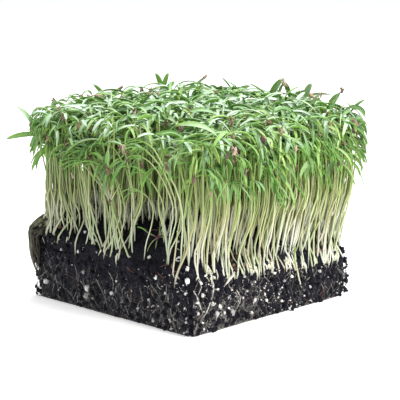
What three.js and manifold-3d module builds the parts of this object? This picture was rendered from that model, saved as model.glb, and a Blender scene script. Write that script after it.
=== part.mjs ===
// A square block of potting mix, lifted whole out of its growing tray and thick with microgreens.
// The soil keeps the tray's square shape: its base is flat, its upper edges have crumbled, and roots and
// white perlite show on its sides. Pale stems stand in it close together, and each ends in two long
// seed leaves that arch over its neighbours. Some leaf tips still hold the brown seed husk.
// Millimetres, +Z up. The origin is the middle of the soil's base.
import * as THREE from "three";
import { mergeVertices } from "three/addons/utils/BufferGeometryUtils.js";
import Module from "manifold-3d";

// The soil block.
const BLOCK_HALF = 63.5; // half of a five inch square
const CORNER_POWER = 24; // the higher, the squarer the outline's corners
const SOIL_TOP = 52;
const SHOULDER_WIDTH = 24; // how far in from the sides the top has crumbled away
const SHOULDER_DROP = 22;
const SHOULDER_SKEW = 0.4; // one corner has kept its edge, and the opposite one has crumbled most
const BASE_EDGE = 1.5; // the worn lower edge
const SOIL_SEGMENTS = 40;
const PERLITE_COUNT = 28;
const PERLITE_SMALLEST = 0.9;
const PERLITE_LARGEST = 1.8;
const PERLITE_MARGIN = 2.6; // how far a grain stays from a stem's middle
const PERLITE_BAND = [0.2, 0.8]; // where the sides' grains sit, as shares of the side's height
const ROOTS_A_SIDE = 6;
const ROOT_RADIUS = 0.6;

// The sowing: a band of close stems round the rim, and a looser grid inside it.
const RIM_COUNT = 14; // stems along each side
const RIM_REACH = 58;
const RIM_OUTER = 60.2;
const RIM_BAND = 8;
const INNER_ROWS = 8;
const INNER_PITCH = 13.5;
const SOWING_JITTER = 2.2;

// The tufts: the stems nearest one centre grow together and share one cell, which none of them leaves.
const TUFT_ROWS = 5;
const TUFT_PITCH = 24.5;
const TUFT_JITTER = 2.8;
const TUFT_SEED = 906;
const CANOPY_SPREAD = 1.08; // the stems lean out, so the canopy is wider than the sowing
const CANOPY_SHIFT = 3; // and they lean towards the light, to +X and +Y
const CANOPY_HALF = 72;
const CANOPY_CORNER = 0.93; // how far out its corners reach, as a share of a sharp corner's distance
const LEAN_FOOT = 20; // the height at which the stems begin to lean
const LEAN_TOP = 68; // and the one at which they have leant all the way

// One seedling.
const STEM_RADIUS = 0.8;
const ROOT_DEPTH = 7;
const HOLE_CLEARANCE = 0.3;
const NECK_HEIGHT = 106; // where the tallest stems' two seed leaves leave them
const NECK_DOME = 3; // how much higher the necks stand in the middle than at the rim
const NECK_TILT = 0.02; // and how much higher for each millimetre towards -X and +Y
const RIM_SHORTER = [22, 8, 8, 22]; // how much shorter a stem can be at the rim, on each side from +X round
const INNER_SHORTER = 9;
const STEM_BOW = 2.4; // how far a stem can bend aside at LEAN_TOP
const NECK_WAVER = 1.5;
const LEAF_LONGEST = 22;
const LEAF_SHORTEST = 14;
const LEAF_STUB = 2.5; // what is left of a leaf that has no room
const LEAF_ROLL = 0.7; // how far a blade turns about its own length
const UPRIGHT_EVERY = 14; // one free leaf in so many stands up
const LEAF_HALF_WIDTH = 2.3;
const LEAF_WIDEST = 0.5; // the share of a leaf's length at which it is widest
const LEAF_KEEL = 0.62;
// Each pair is the least and the most. A leaf rises at its neck by this much a millimetre.
const LEAF_RISE = [0.2, 0.9];
const UPRIGHT_RISE = [1.1, 1.6];
// It sags by this much times the square of its length.
const LEAF_DROOP = [0.05, 0.08];
const UPRIGHT_DROOP = [0.02, 0.04];
const CROSSING_DROOP = [0.03, 0.05];
const STEEPEST_LINK = 0.5; // the steepest slope between the necks of two stems that hold together
const NECK_HALF_WIDTH = 0.95;
const NARROWEST_PAIR = -0.25; // the cosine of the least angle between a stem's two leaves
const HUSK_EVERY = 6; // one leaf in so many keeps its husk
const HUSK_LENGTH = 2.3;
const HUSK_RADIUS = 1.15;
const HUSK_SETBACK = 1.4; // from the leaf's tip to the middle of its husk

// How far each thing stays inside its cell's walls.
const STEM_MARGIN = 1.3;
const NECK_MARGIN = 1.9;
const BLADE_MARGIN = 1.7;
const BLADE_SHARE = 0.72; // the share of a leaf's length that keeps the blade's margin
const TIP_MARGIN = 0.4;
const HUSK_MARGIN = 1.7;

const SLIVER = 0.03; // what fusing leaves that is thinner than this is taken off
const GREEN = 0x74b052;
const SOIL_BLACK = 0x211f25;

const wasm = await Module();
wasm.setup();

// Random draws that come out the same on every run.
function seededDraw(seed) {
  let state = seed * 7919 + 11;
  const next = () => (state = (state * 48271) % 2147483647);
  next();
  next();
  return (low, high) => low + ((high - low) * next()) / 2147483647;
}

function solidOf(geometry) {
  const bare = geometry.clone();
  for (const name of Object.keys(bare.attributes)) if (name !== "position") bare.deleteAttribute(name);
  const merged = mergeVertices(bare, 1e-4);
  const vertProperties = new Float32Array(merged.attributes.position.array);
  const triVerts = new Uint32Array(merged.index.array);
  return new wasm.Manifold(new wasm.Mesh({ numProp: 3, vertProperties, triVerts }));
}

function geometryOf(solid) {
  const mesh = solid.getMesh();
  const geometry = new THREE.BufferGeometry();
  geometry.setAttribute("position", new THREE.BufferAttribute(mesh.vertProperties, 3));
  geometry.setIndex(new THREE.BufferAttribute(mesh.triVerts, 1));
  return geometry.toNonIndexed();
}

function meshOf(name, solid, color, roughness) {
  const geometry = geometryOf(solid);
  geometry.computeVertexNormals();
  const mesh = new THREE.Mesh(geometry, new THREE.MeshStandardMaterial({ color, roughness, metalness: 0 }));
  mesh.name = name;
  return mesh;
}

// Fuses pieces that cross one another. Where they shut in a pocket between them, it is filled.
function fuse(pieces) {
  const bodies = wasm.Manifold.union(pieces).simplify(SLIVER).decompose();
  return bodies.reduce((a, b) => (a.volume() > b.volume() ? a : b));
}

// A spindle that is pointed at both ends: rings of `sides` corners, placed by cornerAt(station, turn).
// Stations run along the spindle, and the first and the last are its points.
function spindle(sides, stations, cornerAt) {
  const geometry = new THREE.CylinderGeometry(0, 0, 1, sides, stations - 1);
  const { position, uv } = geometry.attributes;
  for (let i = 0; i < position.count; i++) {
    const station = Math.round(uv.getY(i) * (stations - 1));
    const corner = cornerAt(station, uv.getX(i) * 2 * Math.PI);
    position.setXYZ(i, corner.x, corner.y, corner.z);
  }
  return solidOf(geometry);
}

// ---- The soil ----

// How far the rounded square outline lies from the middle, at an angle round it.
function outlineRadius(angle) {
  const across = Math.abs(Math.cos(angle)) ** CORNER_POWER;
  const along = Math.abs(Math.sin(angle)) ** CORNER_POWER;
  return BLOCK_HALF / (across + along) ** (1 / CORNER_POWER);
}

// The soil's top surface: gently uneven, and worn away towards the sides.
function soilHeight(x, y) {
  const edge = BLOCK_HALF - Math.max(Math.abs(x), Math.abs(y));
  const worn = Math.max(0, 1 - edge / SHOULDER_WIDTH);
  const drop = SHOULDER_DROP * (1 + (SHOULDER_SKEW * (x + y)) / (2 * BLOCK_HALF));
  const swell = 1.1 * Math.sin(0.13 * x + 0.6) * Math.cos(0.11 * y - 0.4);
  const ripple = 0.6 * Math.sin(0.41 * x - 0.33 * y);
  return SOIL_TOP - drop * worn * worn + swell + ripple;
}

// How far a side bulges at an angle round the block and a height up it.
function sideBulge(angle, z) {
  return 0.5 * Math.sin(7 * angle + 0.21 * z) * Math.sin(0.13 * z + 0.4);
}

function soilBody() {
  const sideHeights = [0, BASE_EDGE, 8, 15];
  const topShares = [1, 0.965, 0.9, 0.8, 0.68, 0.5, 0.26, 0];
  const profile = [new THREE.Vector2(0, 0)];
  sideHeights.forEach((z) => profile.push(new THREE.Vector2(1, z)));
  topShares.forEach((share) => profile.push(new THREE.Vector2(share, SOIL_TOP)));
  const geometry = new THREE.LatheGeometry(profile, SOIL_SEGMENTS);
  geometry.rotateX(Math.PI / 2);
  const { position } = geometry.attributes;
  for (let i = 0; i < position.count; i++) {
    const share = Math.hypot(position.getX(i), position.getY(i));
    const angle = Math.atan2(position.getY(i), position.getX(i));
    const level = position.getZ(i);
    const worn = level === 0 ? BASE_EDGE / 2 : 0;
    const reach = share * (outlineRadius(angle) - worn + (level > 0 ? sideBulge(angle, level) : 0));
    const x = reach * Math.cos(angle);
    const y = reach * Math.sin(angle);
    position.setXYZ(i, x, y, level < SOIL_TOP ? level : soilHeight(x, y));
  }
  return solidOf(geometry);
}

// The point on a side of the block, `along` it from its middle. Sides count from +X round to +Y.
function onSide(side, along, z, out = 0) {
  const angle = Math.atan2(along, BLOCK_HALF) + (side * Math.PI) / 2;
  let x = BLOCK_HALF + sideBulge(angle, z) + out;
  let y = along;
  for (let turn = 0; turn < side; turn++) [x, y] = [-y, x];
  return new THREE.Vector3(x, y, z);
}

// How high a side stands there, up to where its top has crumbled to.
function sideHeight(side, along) {
  const edge = onSide(side, along, 0);
  return soilHeight(edge.x, edge.y);
}

function perliteGrains(stems) {
  const draw = seededDraw(31);
  const grains = [];
  while (grains.length < PERLITE_COUNT) {
    const side = Math.floor(draw(0, 4));
    const along = draw(-56, 56);
    const onTop = draw(0, 1) < 0.35;
    const radius = draw(PERLITE_SMALLEST, PERLITE_LARGEST);
    const place = onSide(side, along, draw(...PERLITE_BAND) * sideHeight(side, along), -0.2);
    if (onTop) {
      place.multiplyScalar(draw(0.84, 0.95));
      place.z = soilHeight(place.x, place.y);
    }
    const turn = new THREE.Euler(draw(0, 3), draw(0, 3), draw(0, 3));
    const fromStem = (stem) => Math.hypot(stem.foot.x - place.x, stem.foot.y - place.y);
    const clear = stems.every((stem) => fromStem(stem) > radius + PERLITE_MARGIN);
    if (onTop && !clear) continue;
    const geometry = new THREE.OctahedronGeometry(radius);
    geometry.scale(1, 0.85, 1.15);
    geometry.applyMatrix4(new THREE.Matrix4().makeRotationFromEuler(turn).setPosition(place));
    grains.push(solidOf(geometry));
  }
  return grains;
}

// Roots that show on the sides, half sunk in the soil.
function sideRoots() {
  const roots = [];
  const stations = 4;
  for (let side = 0; side < 4; side++) {
    const draw = seededDraw(50 + side);
    for (let k = 0; k < ROOTS_A_SIDE; k++) {
      const start = -52 + (104 * (k + draw(0.2, 0.8))) / ROOTS_A_SIDE;
      const high = draw(0.5, 0.85) * sideHeight(side, start);
      const low = draw(1.4, 6);
      const slant = draw(-0.45, 0.45);
      const wander = draw(-2, 2);
      roots.push(
        spindle(3, stations, (station, turn) => {
          const t = station / (stations - 1);
          const thick = station === 0 || station === stations - 1 ? 0 : ROOT_RADIUS;
          const z = high + (low - high) * t;
          const along = start + slant * (high - z) + wander * Math.sin(Math.PI * 1.5 * t);
          return onSide(side, along - thick * Math.sin(turn), z, thick * Math.cos(turn));
        }),
      );
    }
  }
  return roots;
}

// A hole that leans with the stem which stands in it.
function stemHole(stem) {
  const wide = STEM_RADIUS + 2 * HOLE_CLEARANCE;
  const ground = stem.foot.z;
  const levels = [ground - ROOT_DEPTH - 3 * HOLE_CLEARANCE, ground, ground + 6, ground + 7];
  return spindle(3, levels.length, (station, turn) => {
    const r = station === 0 || station === levels.length - 1 ? 0 : wide;
    const middle = stem.axisAt(levels[station]);
    return new THREE.Vector3(middle.x + r * Math.cos(turn), middle.y + r * Math.sin(turn), middle.z);
  });
}

function soilBlock(stems) {
  const lumps = fuse([soilBody(), ...perliteGrains(stems), ...sideRoots()]);
  const holes = wasm.Manifold.union(stems.map(stemHole));
  return meshOf("soil_block", lumps.subtract(holes).simplify(SLIVER), SOIL_BLACK, 0.95);
}

// ---- The sowing and its cells ----

function tuftCentres() {
  const draw = seededDraw(3);
  const centres = [];
  const middle = (TUFT_ROWS - 1) / 2;
  for (let row = 0; row < TUFT_ROWS; row++)
    for (let column = 0; column < TUFT_ROWS; column++)
      centres.push({
        x: (column - middle) * TUFT_PITCH + draw(-TUFT_JITTER, TUFT_JITTER),
        y: (row - middle) * TUFT_PITCH + draw(-TUFT_JITTER, TUFT_JITTER),
      });
  return centres;
}

const centres = tuftCentres();

// The walls between a tuft's cell and the others, as { nx, ny, at }: a point is inside while n . p < at.
function cellWalls(cell) {
  const home = centres[cell];
  return centres
    .filter((other) => other !== home)
    .map((other) => {
      const length = Math.hypot(other.x - home.x, other.y - home.y);
      const nx = (other.x - home.x) / length;
      const ny = (other.y - home.y) / length;
      return { nx, ny, at: nx * home.x + ny * home.y + length / 2 };
    });
}

const walls = centres.map((_, cell) => cellWalls(cell));

// A cell leans with its stems. `lean` is 0 at LEAN_FOOT, and 1 from LEAN_TOP up.
const spreadAt = (lean) => 1 + (CANOPY_SPREAD - 1) * lean;
const shiftAt = (lean) => CANOPY_SHIFT * lean;

// How far a point is inside its cell's walls.
function clearance(cell, x, y, lean) {
  const dx = x - shiftAt(lean);
  const dy = y - shiftAt(lean);
  return Math.min(...walls[cell].map((wall) => wall.at * spreadAt(lean) - wall.nx * dx - wall.ny * dy));
}

// Moves a point towards its cell's centre until it is a margin inside the walls.
function pullIn(cell, x, y, lean, margin) {
  const cx = centres[cell].x * spreadAt(lean) + shiftAt(lean);
  const cy = centres[cell].y * spreadAt(lean) + shiftAt(lean);
  const here = clearance(cell, x, y, lean);
  if (here >= margin) return [x, y];
  const share = (margin - here) / (clearance(cell, cx, cy, lean) - here);
  return [x + share * (cx - x), y + share * (cy - y)];
}

// The canopy's own rim, as walls: four sides, and four that take off its corners.
const rimWalls = Array.from({ length: 8 }, (_, k) => {
  const at = k % 2 ? CANOPY_HALF * Math.SQRT2 * CANOPY_CORNER : CANOPY_HALF;
  return { nx: Math.cos((k * Math.PI) / 4), ny: Math.sin((k * Math.PI) / 4), at };
});

// How far a blade can run from a point in a direction before it is a margin short of its cell's walls.
function reach(cell, x, y, dx, dy, margin) {
  let far = 1000;
  const meet = (wall, at) => {
    const speed = wall.nx * dx + wall.ny * dy;
    const gap = at - wall.nx * (x - CANOPY_SHIFT) - wall.ny * (y - CANOPY_SHIFT);
    if (speed > 1e-6) far = Math.min(far, gap / speed);
  };
  walls[cell].forEach((wall) => meet(wall, wall.at * CANOPY_SPREAD - margin));
  rimWalls.forEach((wall) => meet(wall, wall.at));
  return far;
}

function nearestCentre(x, y) {
  const distances = centres.map((centre) => Math.hypot(centre.x - x, centre.y - y));
  return distances.indexOf(Math.min(...distances));
}

function neckHeight(x, y) {
  const out = Math.hypot(x - CANOPY_SHIFT, y - CANOPY_SHIFT) / CANOPY_HALF;
  return NECK_HEIGHT + NECK_DOME * Math.max(0, 1 - out * out) + NECK_TILT * (y - x);
}

// Where every stem stands, and how it leans and bows.
function sowing() {
  const draw = seededDraw(7);
  const spots = [];
  for (let side = 0; side < 4; side++)
    for (let k = 0; k < RIM_COUNT; k++) {
      const step = (2 * RIM_REACH) / RIM_COUNT;
      let x = RIM_OUTER - draw(0, RIM_BAND);
      let y = -RIM_REACH + step * (k + 0.5) + draw(-0.5, 0.5) * step;
      for (let turn = 0; turn < side; turn++) [x, y] = [-y, x];
      spots.push({ x, y, shorter: RIM_SHORTER[side] });
    }
  const middle = (INNER_ROWS - 1) / 2;
  for (let row = 0; row < INNER_ROWS; row++)
    for (let column = 0; column < INNER_ROWS; column++)
      spots.push({
        x: (column - middle) * INNER_PITCH + draw(-SOWING_JITTER, SOWING_JITTER),
        y: (row - middle) * INNER_PITCH + draw(-SOWING_JITTER, SOWING_JITTER),
        shorter: INNER_SHORTER,
      });
  return spots.map((spot) => {
    const cell = nearestCentre(spot.x, spot.y);
    const [x, y] = pullIn(cell, spot.x, spot.y, 0, STEM_MARGIN);
    const overX = x * spreadAt(1) + shiftAt(1);
    const overY = y * spreadAt(1) + shiftAt(1);
    const waver = (most) => [overX + draw(-most, most), overY + draw(-most, most)];
    const [bendX, bendY] = pullIn(cell, ...waver(STEM_BOW), 1, STEM_MARGIN);
    const [neckX, neckY] = pullIn(cell, ...waver(NECK_WAVER), 1, NECK_MARGIN);
    const shorter = draw(0, spot.shorter);
    const start = new THREE.Vector3(x, y, LEAN_FOOT);
    const bend = new THREE.Vector3(bendX, bendY, LEAN_TOP);
    const neck = new THREE.Vector3(neckX, neckY, neckHeight(neckX, neckY) - shorter);
    const axisAt = (z) => start.clone().lerp(bend, (z - LEAN_FOOT) / (LEAN_TOP - LEAN_FOOT));
    return { cell, bend, neck, axisAt, foot: footOn(axisAt) };
  });
}

// Where a stem's axis meets the soil.
function footOn(axisAt) {
  let foot = axisAt(SOIL_TOP);
  for (let step = 0; step < 8; step++) foot = axisAt(soilHeight(foot.x, foot.y));
  return foot;
}

// ---- One seedling ----

function stemSolid(stem) {
  const root = stem.axisAt(stem.foot.z - ROOT_DEPTH);
  const collar = stem.bend.clone().lerp(stem.neck, 0.9);
  const points = [root, stem.foot, stem.bend, collar, stem.neck];
  return spindle(3, points.length, (station, turn) => {
    const r = station === 0 || station === points.length - 1 ? 0 : STEM_RADIUS;
    const { x, y, z } = points[station];
    return new THREE.Vector3(x + r * Math.cos(turn), y + r * Math.sin(turn), z);
  });
}

// A seed leaf leaves the neck in a direction, rises by `rise` a millimetre, and sags back down by `droop`
// times the square of the distance. It is made of two straight spans, so between its ends it sags by less.
function sag(length, s) {
  const bend = LEAF_WIDEST * length;
  return s <= bend ? s * bend : bend * bend + (s - bend) * (length + bend);
}

function leafPoint(leaf, neck, s) {
  const z = neck.z + leaf.rise * s - leaf.droop * sag(leaf.length, s);
  return new THREE.Vector3(neck.x + leaf.dx * s, neck.y + leaf.dy * s, z);
}

// Both seed leaves of a stem, as one band from tip to tip that is creased at the neck.
function leafPair(stem, first, second) {
  const stations = [
    { leaf: first, share: 1, half: 0 },
    { leaf: first, share: LEAF_WIDEST, half: LEAF_HALF_WIDTH },
    { leaf: first, share: 0, half: NECK_HALF_WIDTH },
    { leaf: second, share: LEAF_WIDEST, half: LEAF_HALF_WIDTH },
    { leaf: second, share: 1, half: 0 },
  ];
  const neckStation = 2;
  return spindle(3, stations.length, (station, turn) => {
    const { leaf, share, half } = stations[station];
    let heading = new THREE.Vector3(second.dx - first.dx, second.dy - first.dy, 0);
    if (station < neckStation) heading = new THREE.Vector3(-first.dx, -first.dy, 0);
    if (station > neckStation) heading = new THREE.Vector3(second.dx, second.dy, 0);
    heading.normalize();
    const across = new THREE.Vector3(-heading.y, heading.x, 0);
    const keel = LEAF_KEEL * (share > 0 ? Math.hypot(1, leaf.rise) : 1);
    const below = new THREE.Vector3(0, 0, half > 0 ? -keel : 0);
    if (share > 0) {
      across.applyAxisAngle(heading, leaf.roll);
      below.applyAxisAngle(heading, leaf.roll);
    }
    const corner = leafPoint(leaf, stem.neck, share * leaf.length);
    corner.addScaledVector(across, half * Math.sin(turn) * 1.15);
    return corner.addScaledVector(below, Math.cos(turn));
  });
}

function huskSolid(stem, leaf) {
  const place = leafPoint(leaf, stem.neck, leaf.length - HUSK_SETBACK);
  const ahead = leafPoint(leaf, stem.neck, leaf.length).sub(place).normalize();
  const geometry = new THREE.OctahedronGeometry(1);
  geometry.scale(HUSK_RADIUS, HUSK_RADIUS, HUSK_LENGTH);
  const turn = new THREE.Quaternion().setFromUnitVectors(new THREE.Vector3(0, 0, 1), ahead);
  geometry.applyQuaternion(turn);
  geometry.translate(place.x, place.y, place.z);
  return solidOf(geometry);
}

// ---- The tufts ----

// The longest leaf, up to `longest`, that stays in the cell. Its tip may come closer to a wall.
function fitLeaf(stem, dx, dy, longest, tipMargin) {
  const { x, y } = stem.neck;
  const blade = reach(stem.cell, x, y, dx, dy, BLADE_MARGIN) / BLADE_SHARE;
  return Math.max(LEAF_STUB, Math.min(longest, blade, reach(stem.cell, x, y, dx, dy, tipMargin)));
}

// The leaf that lies across an earlier neighbour's neck, so that the tuft holds together.
function crossingLeaf(stem, neighbour, draw, tipMargin) {
  const apart = Math.hypot(neighbour.neck.x - stem.neck.x, neighbour.neck.y - stem.neck.y);
  const dx = (neighbour.neck.x - stem.neck.x) / apart;
  const dy = (neighbour.neck.y - stem.neck.y) / apart;
  const droop = draw(...CROSSING_DROOP);
  const longest = Math.max(apart + 2, draw(LEAF_SHORTEST, LEAF_LONGEST));
  const length = Math.max(apart + 1, fitLeaf(stem, dx, dy, longest, tipMargin));
  const rise = (neighbour.neck.z - stem.neck.z + droop * sag(length, apart)) / apart;
  return { dx, dy, droop, length, rise, roll: draw(-LEAF_ROLL, LEAF_ROLL) };
}

// A leaf that is free to point any way: the roomiest of several headings well away from the other leaf.
function freeLeaf(stem, other, draw, tipMargin) {
  const longest = draw(LEAF_SHORTEST, LEAF_LONGEST);
  const start = draw(0, 2 * Math.PI);
  const headings = 10;
  let best = null;
  for (let k = 0; k < headings; k++) {
    const angle = start + (2 * Math.PI * k) / headings;
    const dx = Math.cos(angle);
    const dy = Math.sin(angle);
    if (other && dx * other.dx + dy * other.dy > NARROWEST_PAIR) continue;
    const length = fitLeaf(stem, dx, dy, longest, tipMargin);
    if (!best || length > best.length + 0.5) best = { dx, dy, length };
  }
  const upright = draw(0, UPRIGHT_EVERY) < 1;
  const rise = draw(...(upright ? UPRIGHT_RISE : LEAF_RISE));
  const droop = draw(...(upright ? UPRIGHT_DROOP : LEAF_DROOP));
  return { ...best, rise, droop, roll: draw(-LEAF_ROLL, LEAF_ROLL) };
}

function tuftSolid(stems, cell) {
  const draw = seededDraw(TUFT_SEED + cell);
  const over = (value) => value * spreadAt(1) + shiftAt(1);
  const home = { x: over(centres[cell].x), y: over(centres[cell].y) };
  const apart = (a, b) => Math.hypot(a.x - b.x, a.y - b.y);
  const waiting = [...stems].sort((a, b) => apart(a.neck, home) - apart(b.neck, home));
  const grown = [];
  const pieces = [];
  while (waiting.length) {
    const pick = (stem) => Math.min(...grown.map((other) => apart(stem.neck, other.neck)));
    if (grown.length) waiting.sort((a, b) => pick(a) - pick(b));
    const stem = waiting.shift();
    const hasHusk = draw(0, HUSK_EVERY) < 2;
    let first = null;
    if (grown.length) {
      const toStem = (other) => apart(stem.neck, other.neck);
      const nearest = grown.reduce((a, b) => (toStem(a) <= toStem(b) ? a : b));
      const step = STEEPEST_LINK * toStem(nearest);
      stem.neck.z = THREE.MathUtils.clamp(stem.neck.z, nearest.neck.z - step, nearest.neck.z + step);
      first = crossingLeaf(stem, nearest, draw, TIP_MARGIN);
    } else {
      first = freeLeaf(stem, null, draw, TIP_MARGIN);
    }
    const second = freeLeaf(stem, first, draw, hasHusk ? HUSK_MARGIN : TIP_MARGIN);
    pieces.push(stemSolid(stem), leafPair(stem, first, second));
    if (hasHusk) pieces.push(huskSolid(stem, second));
    grown.push(stem);
  }
  return fuse(pieces);
}

const microgreens = new THREE.Group();
const stems = sowing();
microgreens.add(soilBlock(stems));
centres.forEach((_, cell) => {
  const own = stems.filter((stem) => stem.cell === cell);
  const name = "tuft_" + String(cell + 1).padStart(2, "0");
  if (own.length) microgreens.add(meshOf(name, tuftSolid(own, cell), GREEN, 0.6));
});

export default microgreens;
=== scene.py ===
"""Dresses a square block of potting mix, lifted out of its tray and thick with microgreens.

The fine seedlings stand where the solids' stems do, by the same rule of sowing, but for a few feet that are
pushed aside in a clearing. Many more stand between them. The soil keeps the solids' shape, and its crumbs,
perlite, roots and fibres lie on it.
Lengths in the rules below are millimetres, and each mesh is scaled to metres as it is finished."""

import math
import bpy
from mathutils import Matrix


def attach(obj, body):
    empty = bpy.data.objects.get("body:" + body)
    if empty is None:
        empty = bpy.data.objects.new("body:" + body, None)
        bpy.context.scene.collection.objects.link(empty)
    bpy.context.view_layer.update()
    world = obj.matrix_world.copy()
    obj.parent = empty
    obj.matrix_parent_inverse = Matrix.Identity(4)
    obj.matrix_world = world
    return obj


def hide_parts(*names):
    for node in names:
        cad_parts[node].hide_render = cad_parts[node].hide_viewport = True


bl_info = {
    "name": "Microgreens Block",
    "version": (1, 0, 0),
    "blender": (4, 5, 0),
    "location": "3D View > Sidebar > Microgreens",
    "description": "Soil, seedlings, perlite and roots for a block of microgreens",
    "category": "Object",
}

import bmesh
import bpy
from bpy.props import FloatProperty, FloatVectorProperty, IntProperty, PointerProperty
from mathutils import Matrix, Vector, noise

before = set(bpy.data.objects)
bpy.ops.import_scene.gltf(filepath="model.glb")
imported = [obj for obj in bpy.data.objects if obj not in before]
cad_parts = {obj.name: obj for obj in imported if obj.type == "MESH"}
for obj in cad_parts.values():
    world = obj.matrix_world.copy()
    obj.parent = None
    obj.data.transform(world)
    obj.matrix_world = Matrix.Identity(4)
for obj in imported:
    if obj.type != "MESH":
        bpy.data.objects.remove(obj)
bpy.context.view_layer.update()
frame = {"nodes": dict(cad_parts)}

MM = 0.001
BODY = "root"

# ---- Where each run of random draws starts: the first five as in the solids ----
CELL_SEED, STEM_SEED, TUFT_SEED, GRAIN_SEED, THICK_ROOT_SEED = 3, 7, 906, 31, 50
EXTRA_SEED, LOOKS_SEED, TEAR_SEED, STRAY_SEED, WEED_SEED = 411, 5000, 3000, 19, 37
CRUMB_SEED, CHIP_SEED, FINE_ROOT_SEED, STRAND_SEED, COIR_SEED = 71, 83, 64, 29, 97

# ---- The block, as in the solids ----
BLOCK_HALF = 63.5
CORNER_POWER = 24
SOIL_TOP = 52
SHOULDER_WIDTH = 24
SHOULDER_DROP = 22
SHOULDER_SKEW = 0.4
BASE_EDGE = 1.5
PERLITE_COUNT = 28
PERLITE_SMALLEST = 0.9
PERLITE_LARGEST = 1.8
PERLITE_MARGIN = 2.6
PERLITE_BAND = (0.2, 0.8)
PERLITE_ALONG = 56
PERLITE_ON_TOP = 0.35
ROOTS_A_SIDE = 6
ROOT_REACH = 52
ROOT_TOP = (0.5, 0.85)  # shares of the side's height
ROOT_END = (1.4, 6)

# ---- The sowing and its cells, as in the solids ----
RIM_COUNT = 14
RIM_REACH = 58
RIM_OUTER = 60.2
RIM_BAND = 8
INNER_ROWS = 8
INNER_PITCH = 13.5
SOWING_JITTER = 2.2
TUFT_ROWS = 5
TUFT_PITCH = 24.5
TUFT_JITTER = 2.8
CANOPY_SPREAD = 1.08
CANOPY_SHIFT = 3
CANOPY_HALF = 72
CANOPY_CORNER = 0.93
LEAN_FOOT = 20
LEAN_TOP = 68
NECK_HEIGHT = 106
NECK_DOME = 3
NECK_TILT = 0.02
RIM_SHORTER = (22, 8, 8, 22)
INNER_SHORTER = 9
STEM_BOW = 2.4
NECK_WAVER = 1.5
LEAF_LONGEST = 22
LEAF_SHORTEST = 14
LEAF_STUB = 2.5
LEAF_ROLL = 0.7
UPRIGHT_EVERY = 14
LEAF_WIDEST = 0.5
LEAF_RISE = (0.2, 0.9)
UPRIGHT_RISE = (1.1, 1.6)
LEAF_DROOP = (0.05, 0.08)
UPRIGHT_DROOP = (0.02, 0.04)
CROSSING_DROOP = (0.03, 0.05)
STEEPEST_LINK = 0.5
FARTHEST = 1000.0  # longer than any blade
NARROWEST_PAIR = -0.25
FREE_HEADINGS = 10
HUSK_EVERY = 6
STEM_MARGIN = 1.3
NECK_MARGIN = 1.9
BLADE_MARGIN = 1.7
BLADE_SHARE = 0.72
TIP_MARGIN = 0.4
HUSK_MARGIN = 1.7

# ---- The extra seedlings ----
EXTRA_SHORTER = (24, 14, 14, 22)  # how much shorter a stem can be near each side
INNER_EXTRA_SHORTER = 10
SOWN_HALF = 60.2
RIM_BELT = 15
INNER_SHARE = 0.5
THICK_CORNERS = 62  # past this |x + y| the sowing is as thick as it is near the rim
CORNER_SHARE = 0.15
CORNER_SIZE = 18
CORNER_TURN = 14
FEET_APART = 1.3
FOOT_DEPTH = 2
FOOT_CURL = 3.2
DRAPED_BELT = 8  # feet this near a side can hang down it
DRAPED_SHARE = (0.6, 0.4, 0.4, 0.6)
DRAPE = (7, 6, 6, 8)
STRAIGHT_FOOT = 11
SWAY = 1.6
LOOSE_BOW = 6.5
LOOSE_WAVER = 4.5
LOOSE_INSIDE, NODDING_INSIDE = 8, 5  # how far inside the rim their necks stay
NODDING_SHARE = 0.2
FEWER_NOD, FEWER_NODDING = -10, 0.35  # short of this x, only this share of them nods
NODDING_FROM = -95  # short of this x + y, in one corner, none nods
HUSK_SHARE = 0.14
NODDING_HUSK_SHARE = 0.042
MAIN_RADIUS, LOOSE_RADIUS = (0.48, 0.66), (0.36, 0.62)
LOWEST_HUSK = 72

# ---- Where the sowing is bare: a middle and half widths ----
CLEARING = ((27, -56), (26, 18))
CLEARING_BARENESS, CLEARING_EDGE = 0.98, 6  # how bare it gets, and how soon
THIN_GROWTH = ((-27, -61), (27, 20))
THIN_BARENESS, THIN_EDGE = 0.88, 2.5
BARE = 0.9
CLEARING_FRONT = -52
CLEARING_MIDDLE = 24
PUSHED_LEFT, PUSHED_RIGHT = -8, 9

# ---- The extra seedlings' leaves: angles are radians, and a fall is from the first pitch to the last ----
LOOSE_LENGTH = (17, 31)
LOOSE_SHORTEST = 5
LOOSE_NARROWEST = 0.38
LOOSE_TURN, LOOSE_TWIST, LOOSE_ROLL = 0.9, 1.4, 0.7
LOOSE_PITCH, LOOSE_FALL = (-0.15, 0.95), (1.2, 2.2)
HANGING_PITCH, HANGING_FALL = (-0.7, 0.0), (0.6, 1.2)
RISING_PITCH, RISING_FALL = (0.9, 1.3), (0.1, 0.7)
RISING_EVERY = 40  # one leaf in so many stands up
HANGING_WIDTH = 0.65
STEEPEST_END = -1.5
ROOM_PAST_SIDES = 4
ROOM_PAST_CORNERS = 0.5
HIGHEST_TIP = 112
HIGHEST_SPREAD = 7

LEAF_STEPS = 8
STEM_STEPS = 12
ROOT_STEPS = 8
STEM_SLOT, LEAF_SLOT, HUSK_SLOT = 0, 1, 2


def seeded_draw(seed):
    """Random draws between two bounds that come out the same on every run."""
    state = seed * 7919 + 11

    def step():
        nonlocal state
        state = (state * 48271) % 2147483647
        return state

    step()
    step()
    return lambda low, high: low + ((high - low) * step()) / 2147483647


def level(angle):
    """The level direction at an angle round from +X."""
    return Vector((math.cos(angle), math.sin(angle), 0))


def quarter_turned(x, y, turns):
    for _ in range(turns):
        x, y = -y, x
    return x, y


# ---- The soil's shape ----


def outline_radius(angle):
    """How far the rounded square outline lies from the middle, at an angle round it."""
    across = abs(math.cos(angle)) ** CORNER_POWER
    along = abs(math.sin(angle)) ** CORNER_POWER
    return BLOCK_HALF / (across + along) ** (1 / CORNER_POWER)


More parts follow.
